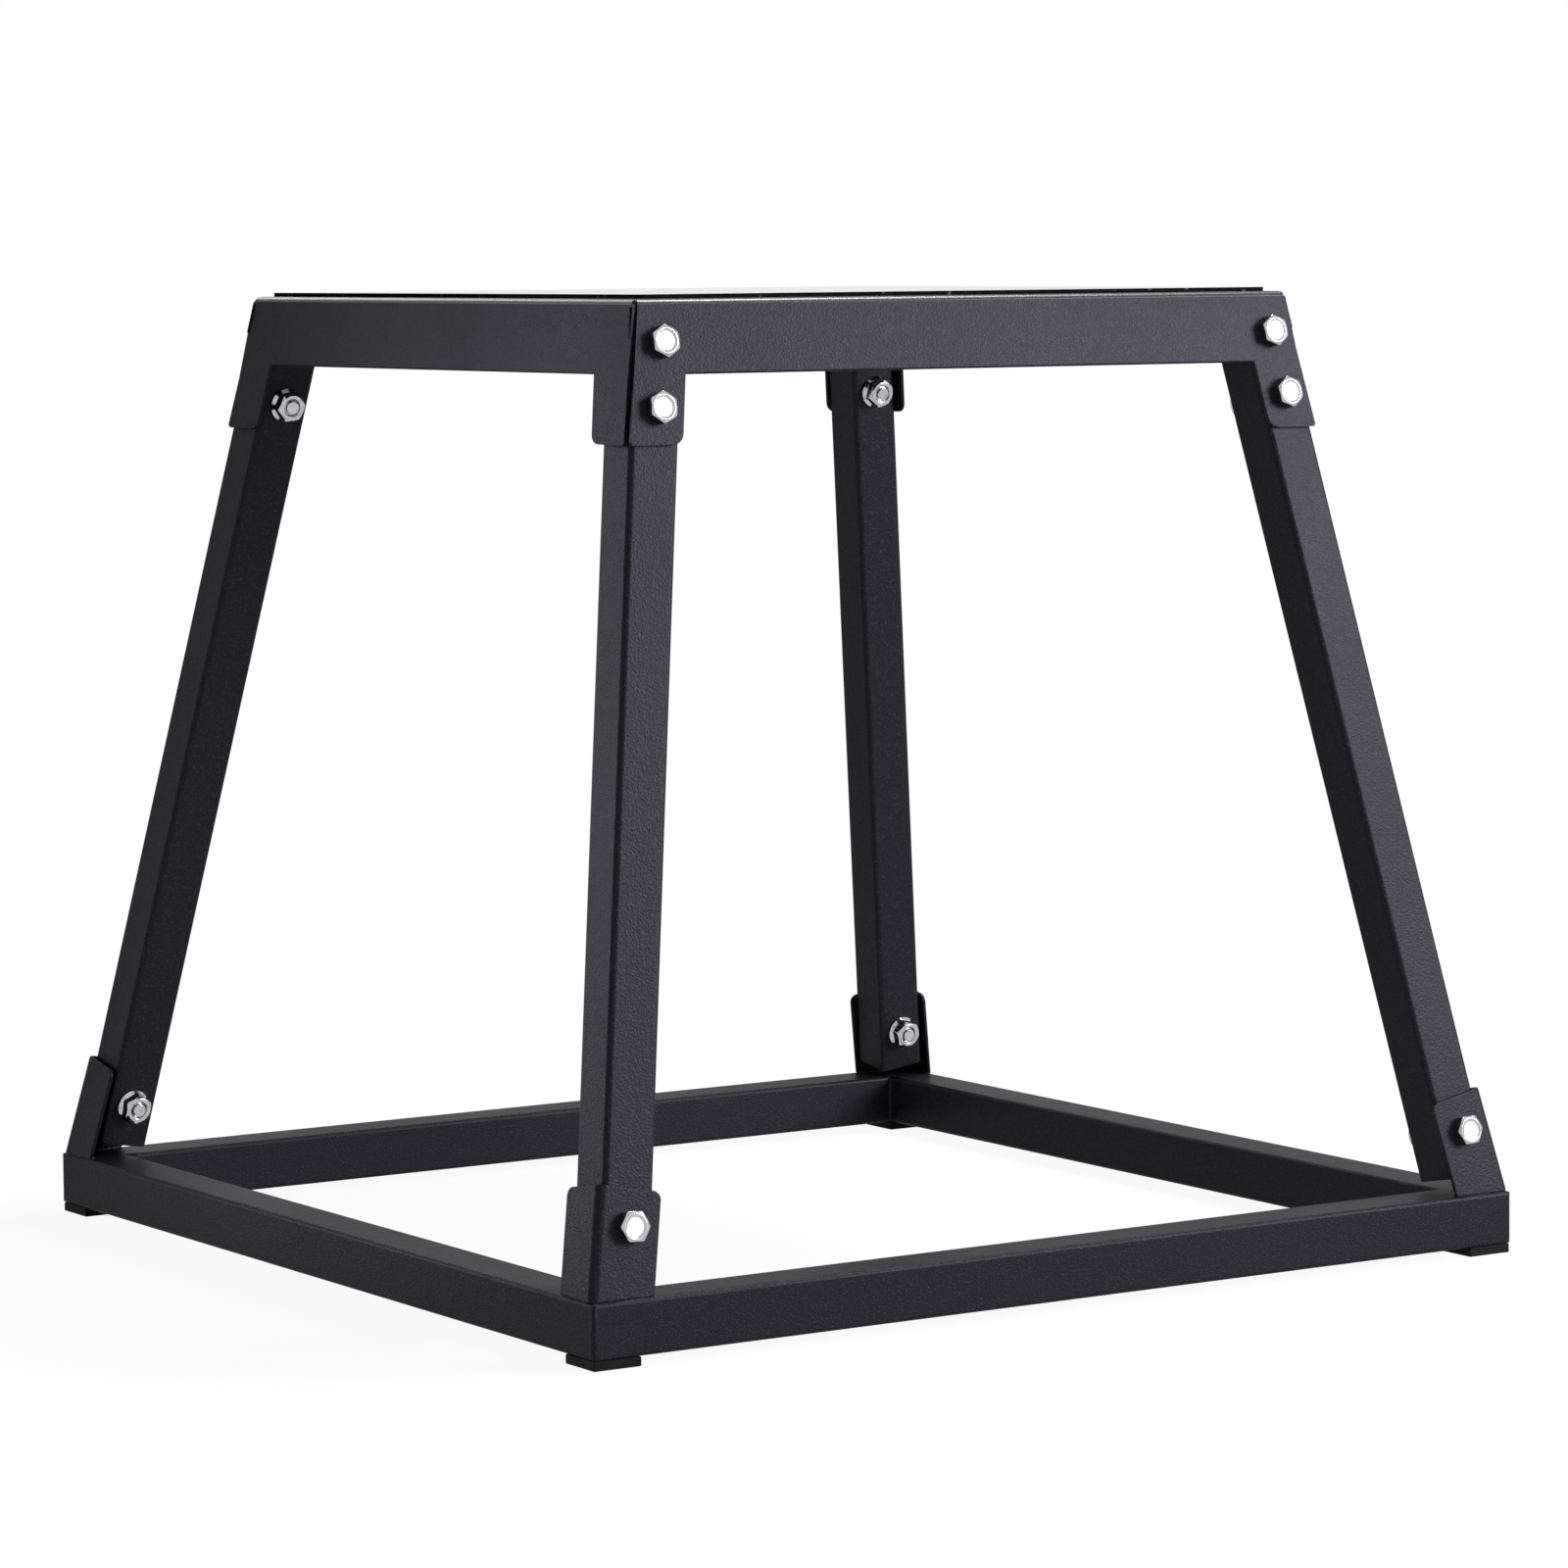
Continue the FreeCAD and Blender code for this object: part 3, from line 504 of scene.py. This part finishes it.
def bead_tree():
    """Tree that lays overlapping drops along the edges of a mesh."""
    tree = bpy.data.node_groups.new("weld_bead", "GeometryNodeTree")
    given, result = add_sockets(tree, (("Seams", "Geometry"), ("Width", "Float"), ("Step", "Float"),
                                       ("Seed", "Int"), ("Finish", "Material")))
    curve = tree.nodes.new("GeometryNodeMeshToCurve")
    evenly = tree.nodes.new("GeometryNodeResampleCurve")
    evenly.mode = "LENGTH"
    tangent = tree.nodes.new("GeometryNodeInputTangent")
    turn = tree.nodes.new("FunctionNodeAlignRotationToVector")
    turn.axis = "Z"
    drop = tree.nodes.new("GeometryNodeMeshIcoSphere")
    drop.inputs["Subdivisions"].default_value = 2
    vary = tree.nodes.new("FunctionNodeRandomValue")
    vary.inputs[2].default_value = 0.86
    vary.inputs[3].default_value = 1.1
    half = tree.nodes.new("ShaderNodeMath")
    half.operation = "MULTIPLY"
    half.inputs[1].default_value = 0.5
    place = tree.nodes.new("GeometryNodeInstanceOnPoints")
    realize = tree.nodes.new("GeometryNodeRealizeInstances")
    smooth = tree.nodes.new("GeometryNodeSetShadeSmooth")
    paint = tree.nodes.new("GeometryNodeSetMaterial")
    link(tree, given, "Seams", curve, "Mesh")
    link(tree, curve, "Curve", evenly, "Curve")
    link(tree, given, "Step", evenly, "Length")
    link(tree, tangent, "Tangent", turn, "Vector")
    link(tree, given, "Width", half, 0)
    link(tree, half, 0, drop, "Radius")
    link(tree, given, "Seed", vary, "Seed")
    link(tree, evenly, "Curve", place, "Points")
    link(tree, drop, "Mesh", place, "Instance")
    link(tree, turn, "Rotation", place, "Rotation")
    link(tree, vary, 1, place, "Scale")
    link(tree, place, "Instances", realize, "Geometry")
    link(tree, realize, "Geometry", smooth, "Geometry")
    link(tree, smooth, "Geometry", paint, "Geometry")
    link(tree, given, "Finish", paint, "Material")
    link(tree, paint, "Geometry", result, "Geometry")
    return tree


def grown(name, points, edges, tree, attributes=(), **inputs):
    """Piece that a geometry tree grows from points and edges, turned into a plain mesh."""
    mesh = bpy.data.meshes.new(name)
    mesh.from_pydata(points, edges, [])
    for label, kind, values in attributes:
        held = mesh.attributes.new(label, kind, "POINT")
        held.data.foreach_set("vector" if kind == "FLOAT_VECTOR" else "value", np.ravel(values))
    piece = bpy.data.objects.new(name, mesh)
    bpy.context.scene.collection.objects.link(piece)
    modifier = piece.modifiers.new(tree.name, "NODES")
    modifier.node_group = tree
    for item in tree.interface.items_tree:
        if item.in_out == "INPUT" and item.name in inputs:
            modifier[item.identifier] = inputs[item.name]
    plain_mesh(piece)
    return piece


BEAD = bead_tree()
print("tree:", BEAD.name, "with", len(BEAD.nodes), "nodes")

# %% Seams
DOWN = Vector((0, 0, -1))
SHEET_SEAM_DROPS = (4 * MM, 17 * MM)
SHEET_SEAM_INSET = 0.25 * MM
RAIL_SEAM_INSET = 2.2 * MM
WING_SEAM_START = 3 * MM
WING_SEAM_END = 2 * MM
SHEET_BEAD = 1.1 * MM
BASE_BEAD = 3.6 * MM
BEAD_STEP = 0.36
BEAD_SEED = 4
TOUCH = 0.1 * MM


def meeting_point(first, second, height):
    """Point at a height where two measured faces meet."""
    (a, reach_a), (b, reach_b) = first, second
    level = Vector((0, 0, 1))
    return Matrix((a, b, level)).inverted() @ Vector((reach_a, reach_b, height))


def corner_signs(corner):
    """Which way a corner lies from the middle: along x, and along y."""
    end, side = corner.split("_")
    return (-1 if side == "left" else 1), (-1 if end == "front" else 1)


def platform_seam(corner):
    """Inside of the seam between two flanges, from under the bends to the end of the shallow flange."""
    side, end = corner_signs(corner)
    across = measure_face("top_platform", Vector((-side, 0, -LEAN)))
    along = measure_face("top_platform", Vector((0, -end, -LEAN)))
    inwards = Vector((-side, -end, 0)) * SHEET_SEAM_INSET
    return [meeting_point(across, along, plate_top - drop) + inwards for drop in SHEET_SEAM_DROPS]


def rail_seam(corner):
    """Inner upright corner of the base."""
    side, end = corner_signs(corner)
    x = side * (base_reach[0] - rail_size)
    y = end * (base_reach[1] - rail_size)
    return [Vector((x, y, rail_top - inset)) for inset in (RAIL_SEAM_INSET, rail_size - RAIL_SEAM_INSET)]


def bracket_seams(corner):
    """Inner lower edges of a bracket's two wings, where it stands on the rails."""
    side, end = corner_signs(corner)
    node = f"base_bracket_{corner}"
    across = measure_face(node, Vector((-side, 0, -LEAN)))
    along = measure_face(node, Vector((0, -end, -LEAN)))
    bend = meeting_point(across, along, rail_top)
    feet = [v.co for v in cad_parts[node].data.vertices if v.co.z < rail_top + TOUCH]
    runs = []
    for face in (across, along):
        run = face[0].cross(DOWN).normalized()
        run = run if run.dot(Vector((-side, -end, 0))) > 0 else -run
        reach = max((foot - bend).dot(run) for foot in feet)
        runs.append([bend + run * WING_SEAM_START, bend + run * (reach - WING_SEAM_END)])
    return runs


def seam_mesh(seams):
    """Points and edges of straight seams."""
    points = [point for seam in seams for point in seam]
    return points, [(2 * index, 2 * index + 1) for index in range(len(seams))]


sheet_seams = [platform_seam(corner) for corner in CORNERS]
base_seams = [rail_seam(corner) for corner in CORNERS]
base_seams += [seam for corner in CORNERS for seam in bracket_seams(corner)]
for name, seams, width in (("weld_bead_platform", sheet_seams, SHEET_BEAD),
                           ("weld_bead_base", base_seams, BASE_BEAD)):
    bead = settle(grown(name, *seam_mesh(seams), BEAD, Width=width, Step=BEAD_STEP * width,
                        Seed=BEAD_SEED, Finish=COAT), "powder_coat")
    print(name, len(seams), "seams,", len(bead.data.polygons), "faces")

# %% [markdown]
# ## Bolts and nuts
# Each leg is held by three hexagon bolts: two through the platform's flange and one through the base
# bracket, with flange nuts inside. The heads are formed cold, which leaves a raised rim round a shallow
# dish and a bevel that cuts the hexagon in six arcs. One bolt and one nut are modelled with care, from
# rings of points round an axis, and Geometry Nodes set a copy on every seat that the frame shows.

# %% One bolt and one nut
HEX_FLATS = 13 * MM
HEX_CORNERS = 1.135
BOLT_DIAMETER = 8 * MM
BOLT_LENGTH = 35 * MM
HEAD_HEIGHT = 5.3 * MM
HEAD_RIM = 5.75 * MM
HEAD_SLOPE = 20
RIM_BREAK = 0.12 * MM
NUT_HEIGHT = 7.5 * MM
NUT_RIM = 6.0 * MM
NUT_SLOPE = 40
NUT_CLEARANCE = 0.02 * MM
FLANGE_DIAMETER = 16.6 * MM
RING_POINTS = 72
ZINC_ROUND = 0.12 * MM


def hexagon_reach(angle):
    """Distance from the axis to a hexagon's side, with its corners taken off a little."""
    from_middle = (angle + math.pi / 6) % (math.pi / 3) - math.pi / 6
    return min(HEX_FLATS / 2 / math.cos(from_middle), HEX_FLATS / 2 * HEX_CORNERS)


def bevelled(face_reach, top, slope):
    """Height at which a hexagon's side ends under a bevel round a face, with a slope in degrees."""
    return lambda angle: top - (hexagon_reach(angle) - face_reach) * math.tan(math.radians(slope))


def turned(name, rings, finish):
    """Closed piece from rings round the z axis: each has a reach and a height, fixed or by angle."""
    solid = bmesh.new()
    loops = []
    for reach, height in rings:
        loop = []
        for step in range(RING_POINTS):
            angle = 2 * math.pi * step / RING_POINTS
            r = reach(angle) if callable(reach) else reach
            z = height(angle) if callable(height) else height
            loop.append(solid.verts.new((r * math.cos(angle), r * math.sin(angle), z)))
        loops.append(loop)
    for lower, upper in zip(loops, loops[1:]):
        for step in range(RING_POINTS):
            after = (step + 1) % RING_POINTS
            solid.faces.new((lower[step], lower[after], upper[after], upper[step]))
    solid.faces.new(loops[0][::-1])
    solid.faces.new(loops[-1])
    bmesh.ops.recalc_face_normals(solid, faces=solid.faces)
    round_edges(solid, ZINC_ROUND, clamp=True)
    piece = new_piece(name, solid, finish)
    piece.hide_render = True
    return piece


def make_bolt():
    """Bolt with its seat at z = 0 and its head upwards."""
    shank = BOLT_DIAMETER / 2
    rings = [
        (shank - 1.0 * MM, -BOLT_LENGTH),
        (shank - 0.75 * MM, -BOLT_LENGTH + 0.3 * MM),
        (shank - 0.75 * MM, -BOLT_LENGTH + 1.6 * MM),
        (shank, -BOLT_LENGTH + 1.8 * MM),
        (shank, -0.1 * MM),
        (hexagon_reach, 0),
        (hexagon_reach, bevelled(HEAD_RIM, HEAD_HEIGHT - RIM_BREAK, HEAD_SLOPE)),
        (HEAD_RIM, HEAD_HEIGHT - RIM_BREAK),
        (HEAD_RIM - 0.22 * MM, HEAD_HEIGHT),
        (HEAD_RIM - 1.0 * MM, HEAD_HEIGHT - 0.34 * MM),
        (HEAD_RIM - 1.9 * MM, HEAD_HEIGHT - 0.62 * MM),
    ]
    return turned("bolt_model", rings, ZINC)


def make_nut():
    """Flange nut with its seat at z = 0; its bore is shallow, because the bolt hides the rest."""
    flange = FLANGE_DIAMETER / 2
    bore = BOLT_DIAMETER / 2 + NUT_CLEARANCE
    rings = [
        (bore, 0),
        (flange - 0.2 * MM, 0),
        (flange, 0.25 * MM),
        (flange, 1.0 * MM),
        (lambda angle: hexagon_reach(angle) + 0.25 * MM, 2.3 * MM),
        (hexagon_reach, 2.9 * MM),
        (hexagon_reach, bevelled(NUT_RIM, NUT_HEIGHT, NUT_SLOPE)),
        (NUT_RIM, NUT_HEIGHT),
        (bore + 0.55 * MM, NUT_HEIGHT),
        (bore, NUT_HEIGHT - 0.6 * MM),
        (bore, NUT_HEIGHT - 1.5 * MM),
    ]
    return turned("nut_model", rings, ZINC)


bolt_model = make_bolt()
nut_model = make_nut()
print("models:", len(bolt_model.data.polygons), "and", len(nut_model.data.polygons), "faces")

# %% Seats of the fasteners


def islands(node):
    """Vertex positions of each separate solid in a node."""
    solid = solid_copy(node)
    waiting = set(solid.verts)
    found = []
    while waiting:
        front = [waiting.pop()]
        island = []
        while front:
            vertex = front.pop()
            island.append(np.array(vertex.co))
            reached = {edge.other_vert(vertex) for edge in vertex.link_edges} & waiting
            waiting -= reached
            front += reached
        found.append(np.array(island))
    solid.free()
    return found


def bolt_line(points):
    """Axis of a bolt, out of its head, and the seat under that head."""
    middle = points.mean(axis=0)
    axis = np.linalg.svd(points - middle)[2][0]
    along = (points - middle) @ axis
    off_axis = np.linalg.norm(points - middle - np.outer(along, axis), axis=1)
    head = along[off_axis > BOLT_DIAMETER / 2 + MM]
    if head.mean() < 0:
        axis, along, head = -axis, -along, -head
    return axis, middle + axis * head.min()


def seats_at(corner):
    """Seats of a corner's bolts and nuts, with their axes, from the top down."""
    lines = [bolt_line(points) for points in islands(f"bolts_{corner}")]
    bolts = sorted(lines, key=lambda line: -line[1][2])
    nuts = []
    for points in sorted(islands(f"nuts_{corner}"), key=lambda solid: -solid[:, 2].mean()):
        axis = -bolts[len(nuts)][0]
        along = (points - points.mean(axis=0)) @ axis
        nuts.append((axis, points.mean(axis=0) + axis * along.min()))
    return bolts, nuts


seats = {corner: seats_at(corner) for corner in CORNERS}
print("seats:", sum(len(bolts) + len(nuts) for bolts, nuts in seats.values()))

# %% Fasteners on their seats
# Turns of heads and nuts in degrees, from the top down, where the picture shows them or where a corner
# of a nut would look out from behind its leg. The rest are turned at random.
HEAD_TURNS = {"front_left": (2, -4, 27), "front_right": (8, 10, 33)}
NUT_TURNS = {"front_right": (1, -3, 2)}
TURN_SEED = 7


def fastener_tree():
    """Tree that stands a fastener on each seat, along its axis and turned by its spin."""
    tree = bpy.data.node_groups.new("fasteners_on_seats", "GeometryNodeTree")
    given, result = add_sockets(tree, (("Seats", "Geometry"), ("Fastener", "Object"), ("Size", "Float"),
                                       ("Finish", "Material")))
    axis = tree.nodes.new("GeometryNodeInputNamedAttribute")
    axis.data_type = "FLOAT_VECTOR"
    axis.inputs["Name"].default_value = "axis"
    spin = tree.nodes.new("GeometryNodeInputNamedAttribute")
    spin.data_type = "FLOAT"
    spin.inputs["Name"].default_value = "spin"
    stand = tree.nodes.new("FunctionNodeAlignRotationToVector")
    stand.axis = "Z"
    twist = tree.nodes.new("FunctionNodeAxisAngleToRotation")
    twist.inputs["Axis"].default_value = (0, 0, 1)
    turn = tree.nodes.new("FunctionNodeRotateRotation")
    turn.rotation_space = "LOCAL"
    model = tree.nodes.new("GeometryNodeObjectInfo")
    place = tree.nodes.new("GeometryNodeInstanceOnPoints")
    realize = tree.nodes.new("GeometryNodeRealizeInstances")
    plate = tree.nodes.new("GeometryNodeSetMaterial")
    link(tree, axis, "Attribute", stand, "Vector")
    link(tree, spin, "Attribute", twist, "Angle")
    link(tree, stand, "Rotation", turn, "Rotation")
    link(tree, twist, "Rotation", turn, "Rotate By")
    link(tree, given, "Fastener", model, "Object")
    link(tree, given, "Seats", place, "Points")
    link(tree, model, "Geometry", place, "Instance")
    link(tree, turn, "Rotation", place, "Rotation")
    link(tree, given, "Size", place, "Scale")
    link(tree, place, "Instances", realize, "Geometry")
    link(tree, realize, "Geometry", plate, "Geometry")
    link(tree, given, "Finish", plate, "Material")
    link(tree, plate, "Geometry", result, "Geometry")
    return tree


def stand_fasteners(name, model, lines, turns):
    """One corner's bolts or nuts as a single piece."""
    axes = [line[0] for line in lines]
    points = [line[1] for line in lines]
    attributes = (("axis", "FLOAT_VECTOR", axes), ("spin", "FLOAT", [math.radians(turn) for turn in turns]))
    return grown(name, points, [], ON_SEATS, attributes, Fastener=model, Size=1.0, Finish=ZINC)


ON_SEATS = fastener_tree()
any_turn = random.Random(TURN_SEED)
for corner, (bolts, nuts) in seats.items():
    loose = [any_turn.uniform(0, 60) for line in bolts + nuts]
    heads = stand_fasteners(f"hex_bolts_{corner}", bolt_model, bolts, HEAD_TURNS.get(corner, loose[:3]))
    inside = stand_fasteners(f"flange_nuts_{corner}", nut_model, nuts, NUT_TURNS.get(corner, loose[3:]))
    settle(heads, "zinc", f"bolts_{corner}")
    settle(inside, "zinc", f"nuts_{corner}")
    print(corner, len(heads.data.polygons), "faces on the bolts,", len(inside.data.polygons), "on the nuts")
for model in (bolt_model, nut_model):
    bpy.data.objects.remove(model)

# %% [markdown]
# ## Mat and feet
# The mat is a cut sheet of crumb rubber, and the feet are moulded rubber pads. Both are simple outlines
# whose edges tell the material: the mat's cut edge is crisp and a little uneven, so its points are
# nudged by a seeded fraction of a millimetre, and a foot has soft moulded edges all round.

# %% Mat
MAT_CORNER = 2.5 * MM
MAT_ROUND = 0.25 * MM
CORNER_STEPS = 6
EDGE_STEP = 2 * MM
EDGE_NUDGE = 0.12 * MM
NUDGE_SEED = 3


def mat_outline(low, high):
    """Points round the mat: straight sides in short steps, and round corners."""
    nudge = random.Random(NUDGE_SEED)
    centres = [(high.x, high.y), (low.x, high.y), (low.x, low.y), (high.x, low.y)]
    corners = []
    for quarter, (x, y) in enumerate(centres):
        inner = Vector((x - math.copysign(MAT_CORNER, x), y - math.copysign(MAT_CORNER, y)))
        for step in range(CORNER_STEPS + 1):
            angle = (quarter + step / CORNER_STEPS) * math.pi / 2
            corners.append(inner + MAT_CORNER * Vector((math.cos(angle), math.sin(angle))))
    points = []
    for start, stop in zip(corners, corners[1:] + corners[:1]):
        steps = max(1, round((stop - start).length / EDGE_STEP))
        points += [start.lerp(stop, step / steps) for step in range(steps)]
    return [point * (1 - nudge.uniform(0, EDGE_NUDGE) / point.length) for point in points]


def make_mat():
    """Mat as an upright ring of points between two flat faces, with slightly broken edges."""
    low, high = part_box("top_mat")
    solid = bmesh.new()
    outline = mat_outline(low, high)
    bottom = [solid.verts.new((*point, low.z)) for point in outline]
    top = [solid.verts.new((*point, high.z)) for point in outline]
    for index in range(len(outline)):
        after = (index + 1) % len(outline)
        solid.faces.new((bottom[index], bottom[after], top[after], top[index]))
    solid.faces.new(bottom[::-1])
    solid.faces.new(top)
    round_edges(solid, MAT_ROUND)
    return new_piece("crumb_mat", solid, CRUMB)


mat = settle(make_mat(), "mat_rubber", "top_mat")
print("mat:", len(mat.data.polygons), "faces")

# %% Feet
FOOT_ROUND = 0.6 * MM


def make_foot(corner):
    """Moulded pad: a block with rounded edges all over."""
    low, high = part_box(f"foot_{corner}")
    solid = bmesh.new()
    bmesh.ops.create_cube(solid, size=1.0)
    for vertex in solid.verts:
        vertex.co = [
            middle + share * (most - least)
            for middle, share, least, most in zip((low + high) / 2, vertex.co, low, high)
        ]
    round_edges(solid, FOOT_ROUND)
    return new_piece(f"rubber_foot_{corner}", solid, FOOT)


for corner in CORNERS:
    foot = settle(make_foot(corner), "foot_rubber", f"foot_{corner}")
    print(foot.name, len(foot.data.polygons), "faces")

# %% [markdown]
# ## Floor, light and background
# The box stands on a pale studio floor before plain white. A floor that is lit to white would need far
# too much light, so camera and mirror rays see it as white paper that keeps a share of its real shading,
# and that share fades outwards until the floor is one with the background. The soft light comes from a
# large box at the front right, which the leaning front faces mirror, with a low strip below it for the
# lower bolt heads. A narrow strip at the left has a grid before it, so that the left faces fade towards
# one end. A high box at the right and a weak one behind light the bends and the tops of the rails.

# %% Floor
FLOOR_RADIUS = 1.7
FLOOR_SIDES = 96
FLOOR_SINK = 0.05 * MM
SHADOW_SHARE = 0.07
FADE_START = 0.42
FADE_END = 1.15
PAPER = (0.88, 0.88, 0.88, 1)
WHITE = (1, 1, 1, 1)


def seen_directly(start):
    """1 for rays from the camera, a mirror or glass, 0 for light that bounces."""
    path = {name: start.node("ShaderNodeLightPath", {}, {}, f"Is {name} Ray")
            for name in ("Camera", "Glossy", "Transmission")}
    either = start.maths("MAXIMUM", path["Camera"], path["Glossy"])
    return start.maths("MAXIMUM", either, path["Transmission"])


def studio_floor():
    """White paper to the camera and to mirrors, with a share of its shading near the box."""
    finish = bpy.data.materials.new("studio_floor")
    finish.use_nodes = True
    tree = finish.node_tree
    tree.nodes.clear()
    start = Wire(tree)
    place = start.node("ShaderNodeTexCoord", {}, {}, "Object")
    distance = start.node("ShaderNodeVectorMath", {"operation": "LENGTH"}, {0: place}, "Value")
    shading = SHADOW_SHARE * (1 - stepped(distance, FADE_START, FADE_END))
    paper = start.node("ShaderNodeBsdfDiffuse", {}, {"Color": PAPER})
    white = start.node("ShaderNodeEmission", {}, {"Color": WHITE, "Strength": 1.0})
    mixed = start.node("ShaderNodeMixShader", {},
                       {0: seen_directly(start) * (1 - shading), 1: paper, 2: white})
    output = tree.nodes.new("ShaderNodeOutputMaterial")
    tree.links.new(mixed.output, output.inputs["Surface"])
    return finish


def make_floor():
    """Round floor, a hair under the feet."""
    solid = bmesh.new()
    bmesh.ops.create_circle(solid, cap_ends=True, segments=FLOOR_SIDES, radius=FLOOR_RADIUS)
    mesh = bpy.data.meshes.new("floor")
    solid.to_mesh(mesh)
    solid.free()
    mesh.materials.append(studio_floor())
    floor = bpy.data.objects.new("floor", mesh)
    floor.location.z = -FLOOR_SINK
    bpy.context.scene.collection.objects.link(floor)
    return floor


print("floor:", make_floor().name)

# %% Lights
AIM = Vector((0, 0, 0.25))
LEFT_AIM = Vector((-0.2, -0.24, 0.22))
COOL = (0.93, 0.92, 1.0)
PLAIN = (1.0, 1.0, 1.0)


def soft_box(name, place, size, watts, colour, aim=AIM, spread=180):
    """Rectangular soft light that looks at a point; a small spread in degrees is a grid before it."""
    lamp = bpy.data.lights.new(name, "AREA")
    lamp.shape = "RECTANGLE"
    lamp.size, lamp.size_y = size
    lamp.energy = watts
    lamp.color = colour
    lamp.spread = math.radians(spread)
    box = bpy.data.objects.new(name, lamp)
    away = Vector(place) - aim
    box.matrix_world = Matrix.Translation(place) @ away.to_track_quat("Z", "Y").to_matrix().to_4x4()
    bpy.context.scene.collection.objects.link(box)
    return box


boxes = [
    soft_box("front_right_box", (1.85, -2.05, 1.12), (1.3, 1.15), 136, COOL),
    soft_box("front_low_strip", (1.42, -2.27, 0.37), (1.0, 0.22), 2.4, PLAIN),
    soft_box("left_strip", (-0.55, 0.45, 0.32), (0.15, 0.66), 0.42, COOL, LEFT_AIM, 60),
    soft_box("right_high_box", (0.80, -0.12, 2.05), (0.5, 0.5), 50, PLAIN),
    soft_box("rear_box", (0.2, 2.5, 1.75), (1.2, 0.5), 16, PLAIN),
]
print("lights:", [box.name for box in boxes])

# %% Background
BOUNCED_GREY = (0.10, 0.10, 0.105, 1)


def studio_world():
    """White where the camera or a mirror looks at it, and a soft grey for bounced light."""
    world = bpy.data.worlds.new("studio")
    world.use_nodes = True
    tree = world.node_tree
    background = tree.nodes["Background"]
    start = Wire(tree)
    feed(background, "Color", between(seen_directly(start), BOUNCED_GREY, WHITE))
    bpy.context.scene.world = world
    return world


print("world:", studio_world().name)

# %% [markdown]
# ## Finish
# The picture uses Blender's Standard view, so that a colour comes out as it was written.

# %% Finish
bpy.context.scene.view_settings.view_transform = "Standard"
